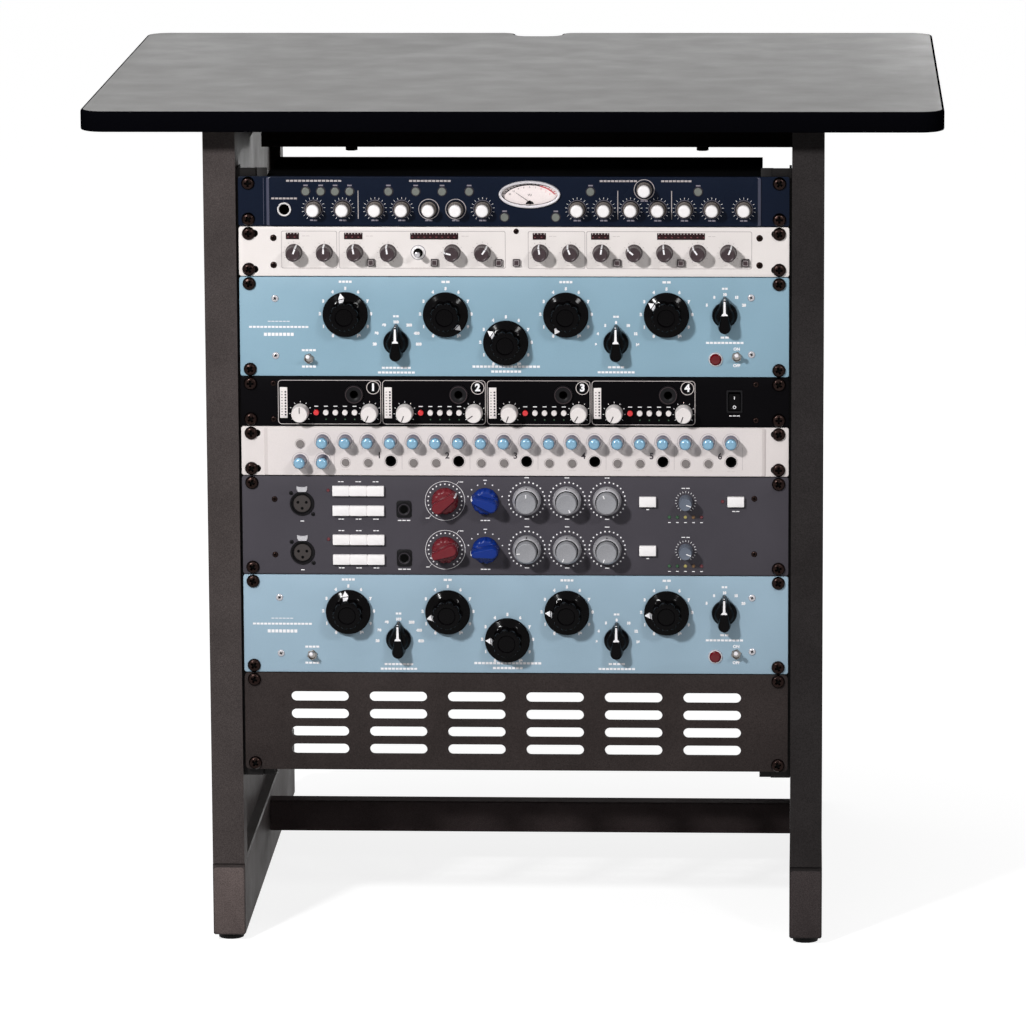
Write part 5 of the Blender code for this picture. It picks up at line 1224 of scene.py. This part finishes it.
def desk():
    """The desk top, the caps and glides of the feet, and the strips beside the rails."""
    metres = Matrix.Scale(MM, 4)
    under, over = DESK_LOW.z, DESK_HIGH.z
    steps = ((1.6, under), (0.5, under + 0.4), (0, under + 1.4), (0, over - 1.8), (0.4, over - 0.7),
             (1.2, over - 0.15), (2.2, over - 0.05), (2.6, over))
    # The top's face takes the laminate look with its painted sheen
    top = Form().loft([top_outline(*step) for step in steps], ["edge_band"] * 6 + ["laminate_painted_sheen"] * 2)
    piece("desktop_form", top, metres, replaces=("desktop",))
    fittings = Form()
    glide = ((11, 0), (GLIDE_RADIUS, 0.6), (GLIDE_RADIUS, 3.6), (10.6, 4.8), (6, 5.4), (6, 6.4))
    along = Matrix(((1, 0, 0, 0), (0, 0, -1, 0), (0, 1, 0, 0), (0, 0, 0, 1)))
    for side in (-1, 1):
        for front, facing in ((FOOT_FRONT, 1), (FOOT_BACK, -1)):
            fittings.spot = (Matrix.Translation((side * LEG_CENTRE, front, CAP_MIDDLE))
                             @ Matrix.Rotation(0 if facing > 0 else pi, 4, "Z") @ along)
            # The left caps take a painted sheen
            look = "left_cap" if side < 0 else "right_cap"
            fittings.block(CAP_WIDTH, CAP_HEIGHT, -6, 0.25, look, 3, 1.2)
            fittings.at(side * LEG_CENTRE, front + facing * GLIDE_INSET).turn(glide, "rubber", 40)
    piece("foot_caps_and_glides", fittings, metres)
    baffles = Form()
    height = RAIL_HIGH.z - RAIL_LOW.z
    middle = RAIL_LOW.z + height / 2
    for side in (-1, 1):
        for x, width in ((RAIL_HIGH.x, 1.4), (RAIL_LOW.x - BAFFLE_WIDTH / 2 + 1, BAFFLE_WIDTH)):
            baffles.spot = Matrix.Translation((side * x, RAIL_LOW.y + BAFFLE_SET, middle)) @ along
            baffles.block(width, height, 0, 1, "rail", 0.2, 0.1)
    piece("rail_baffles", baffles, metres)


def dress_frame():
    """Gives each CAD node that stays in view its look."""
    # The left side frame's look carries a painted sheen
    looks = {"left_rack_rail": "rail", "right_rack_rail": "rail", "left_side_frame": "left_paint_painted_sheen",
             # The crossbars' look carries painted light
             "right_side_frame": "right_paint", "base_crossbar": "bar", "top_crossbar": "bar"}
    looks.update({f"{device}_chassis": "case" for device in DEVICES if device != "vent_panel"})
    for node, look in looks.items():
        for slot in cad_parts[node].material_slots:
            slot.material = material(look)


# Floor, light and camera

FLOOR_HALF = 40
FLOOR_TONE = 0.34
FLOOR_GLOW = 0.84
WORLD_LEVEL = 0.11
LIGHT_AIM = Vector((0, -0.15, 0.45))

# Name, place in metres, size in metres or degrees, and power of each light
LIGHTS = (("key", (-1.05, -2.15, 1.6), 0.18, 48), ("right", (1.42, -2.6, 1.88), 0.3, 19),
          ("back", (0.9, 2.6, 0.6), 1, 14), ("overhead", (-0.4, -0.5, 4), 50, 1.1))


def show_white(tree, plain, white, output):
    """Shows one shader in general, and another to the rays that should meet the white background."""
    nodes, links = tree.nodes, tree.links
    path = nodes.new("ShaderNodeLightPath")
    seen = path.outputs["Is Camera Ray"]
    for word in ("Is Glossy Ray", "Is Transmission Ray"):
        node = nodes.new("ShaderNodeMath")
        node.operation = "MAXIMUM"
        links.new(seen, node.inputs[0])
        links.new(path.outputs[word], node.inputs[1])
        seen = node.outputs[0]
    mix = nodes.new("ShaderNodeMixShader")
    for source, socket in ((seen, "Fac"), (plain.outputs[0], 1), (white.outputs[0], 2)):
        links.new(source, mix.inputs[socket])
    links.new(mix.outputs[0], nodes[output].inputs["Surface"])


def studio():
    """A floor that looks white and keeps the object's shadow, a white world and the lamps."""
    bm = bmesh.new()
    bmesh.ops.create_grid(bm, x_segments=1, y_segments=1, size=FLOOR_HALF)
    mesh = bpy.data.meshes.new("floor")
    bm.to_mesh(mesh)
    bm.free()
    floor = bpy.data.objects.new("floor", mesh)
    bpy.context.scene.collection.objects.link(floor)
    paint = bpy.data.materials.new("floor_paint")
    paint.use_nodes = True
    mesh.materials.append(paint)
    nodes, links = paint.node_tree.nodes, paint.node_tree.links
    nodes.remove(nodes["Principled BSDF"])
    diffuse = nodes.new("ShaderNodeBsdfDiffuse")
    diffuse.inputs["Color"].default_value = (FLOOR_TONE, FLOOR_TONE, FLOOR_TONE, 1)
    glow = nodes.new("ShaderNodeEmission")
    glow.inputs["Strength"].default_value = FLOOR_GLOW
    lit = nodes.new("ShaderNodeAddShader")
    links.new(diffuse.outputs[0], lit.inputs[0])
    links.new(glow.outputs[0], lit.inputs[1])
    show_white(paint.node_tree, diffuse, lit, "Material Output")

    world = bpy.data.worlds.new("studio")
    bpy.context.scene.world = world
    world.use_nodes = True
    soft = world.node_tree.nodes["Background"]
    white = world.node_tree.nodes.new("ShaderNodeBackground")
    for shader, strength in ((soft, WORLD_LEVEL), (white, 1)):
        shader.inputs["Color"].default_value = (1, 1, 1, 1)
        shader.inputs["Strength"].default_value = strength
    show_white(world.node_tree, soft, white, "World Output")

    for name, place, size, power in LIGHTS:
        lamp = bpy.data.lights.new(name, "SUN" if name == "overhead" else "AREA")
        if name == "overhead":
            lamp.angle = radians(size)
        else:
            lamp.size = size
        lamp.energy = power
        obj = bpy.data.objects.new(name, lamp)
        obj.location = place
        aim = LIGHT_AIM - Vector(place)
        obj.rotation_euler = aim.to_track_quat("-Z", "Y").to_euler()
        obj.visible_camera = False
        bpy.context.scene.collection.objects.link(obj)


# Position in metres, angles in radians and lens in millimetres
CAMERA_PLACE = (0.25556, -5.64241, 1.43559)
CAMERA_YAW = 0.04764
CAMERA_PITCH = 0.19103
CAMERA_ROLL = -0.00529
CAMERA_LENS = 218.648
SENSOR_WIDTH = 36


def camera():
    """The photograph's view: a long lens, a little above the rack and almost straight in front."""
    data = bpy.data.cameras.new("camera")
    data.lens = CAMERA_LENS
    data.sensor_width = SENSOR_WIDTH
    obj = bpy.data.objects.new("camera", data)
    turn = Matrix.Identity(4)
    for angle, axis in ((CAMERA_YAW, "Z"), (pi / 2 - CAMERA_PITCH, "X"), (CAMERA_ROLL, "Z")):
        turn = turn @ Matrix.Rotation(angle, 4, axis)
    obj.matrix_world = Matrix.Translation(CAMERA_PLACE) @ turn
    bpy.context.scene.collection.objects.link(obj)
    bpy.context.scene.camera = obj


desk()
dress_frame()
channel_strip()
dynamics()
equalizer("upper_equalizer", "sky", EQ_UPPER, UPPER_SCREWS)
quad_unit()
headphone_amp()
dual_preamp()
# The lower equalizer's look carries painted light
equalizer("lower_equalizer", "sky_painted_light", EQ_LOWER, LOWER_SCREWS)
vent_panel()
studio()
camera()
bpy.context.scene.view_settings.view_transform = "Standard"
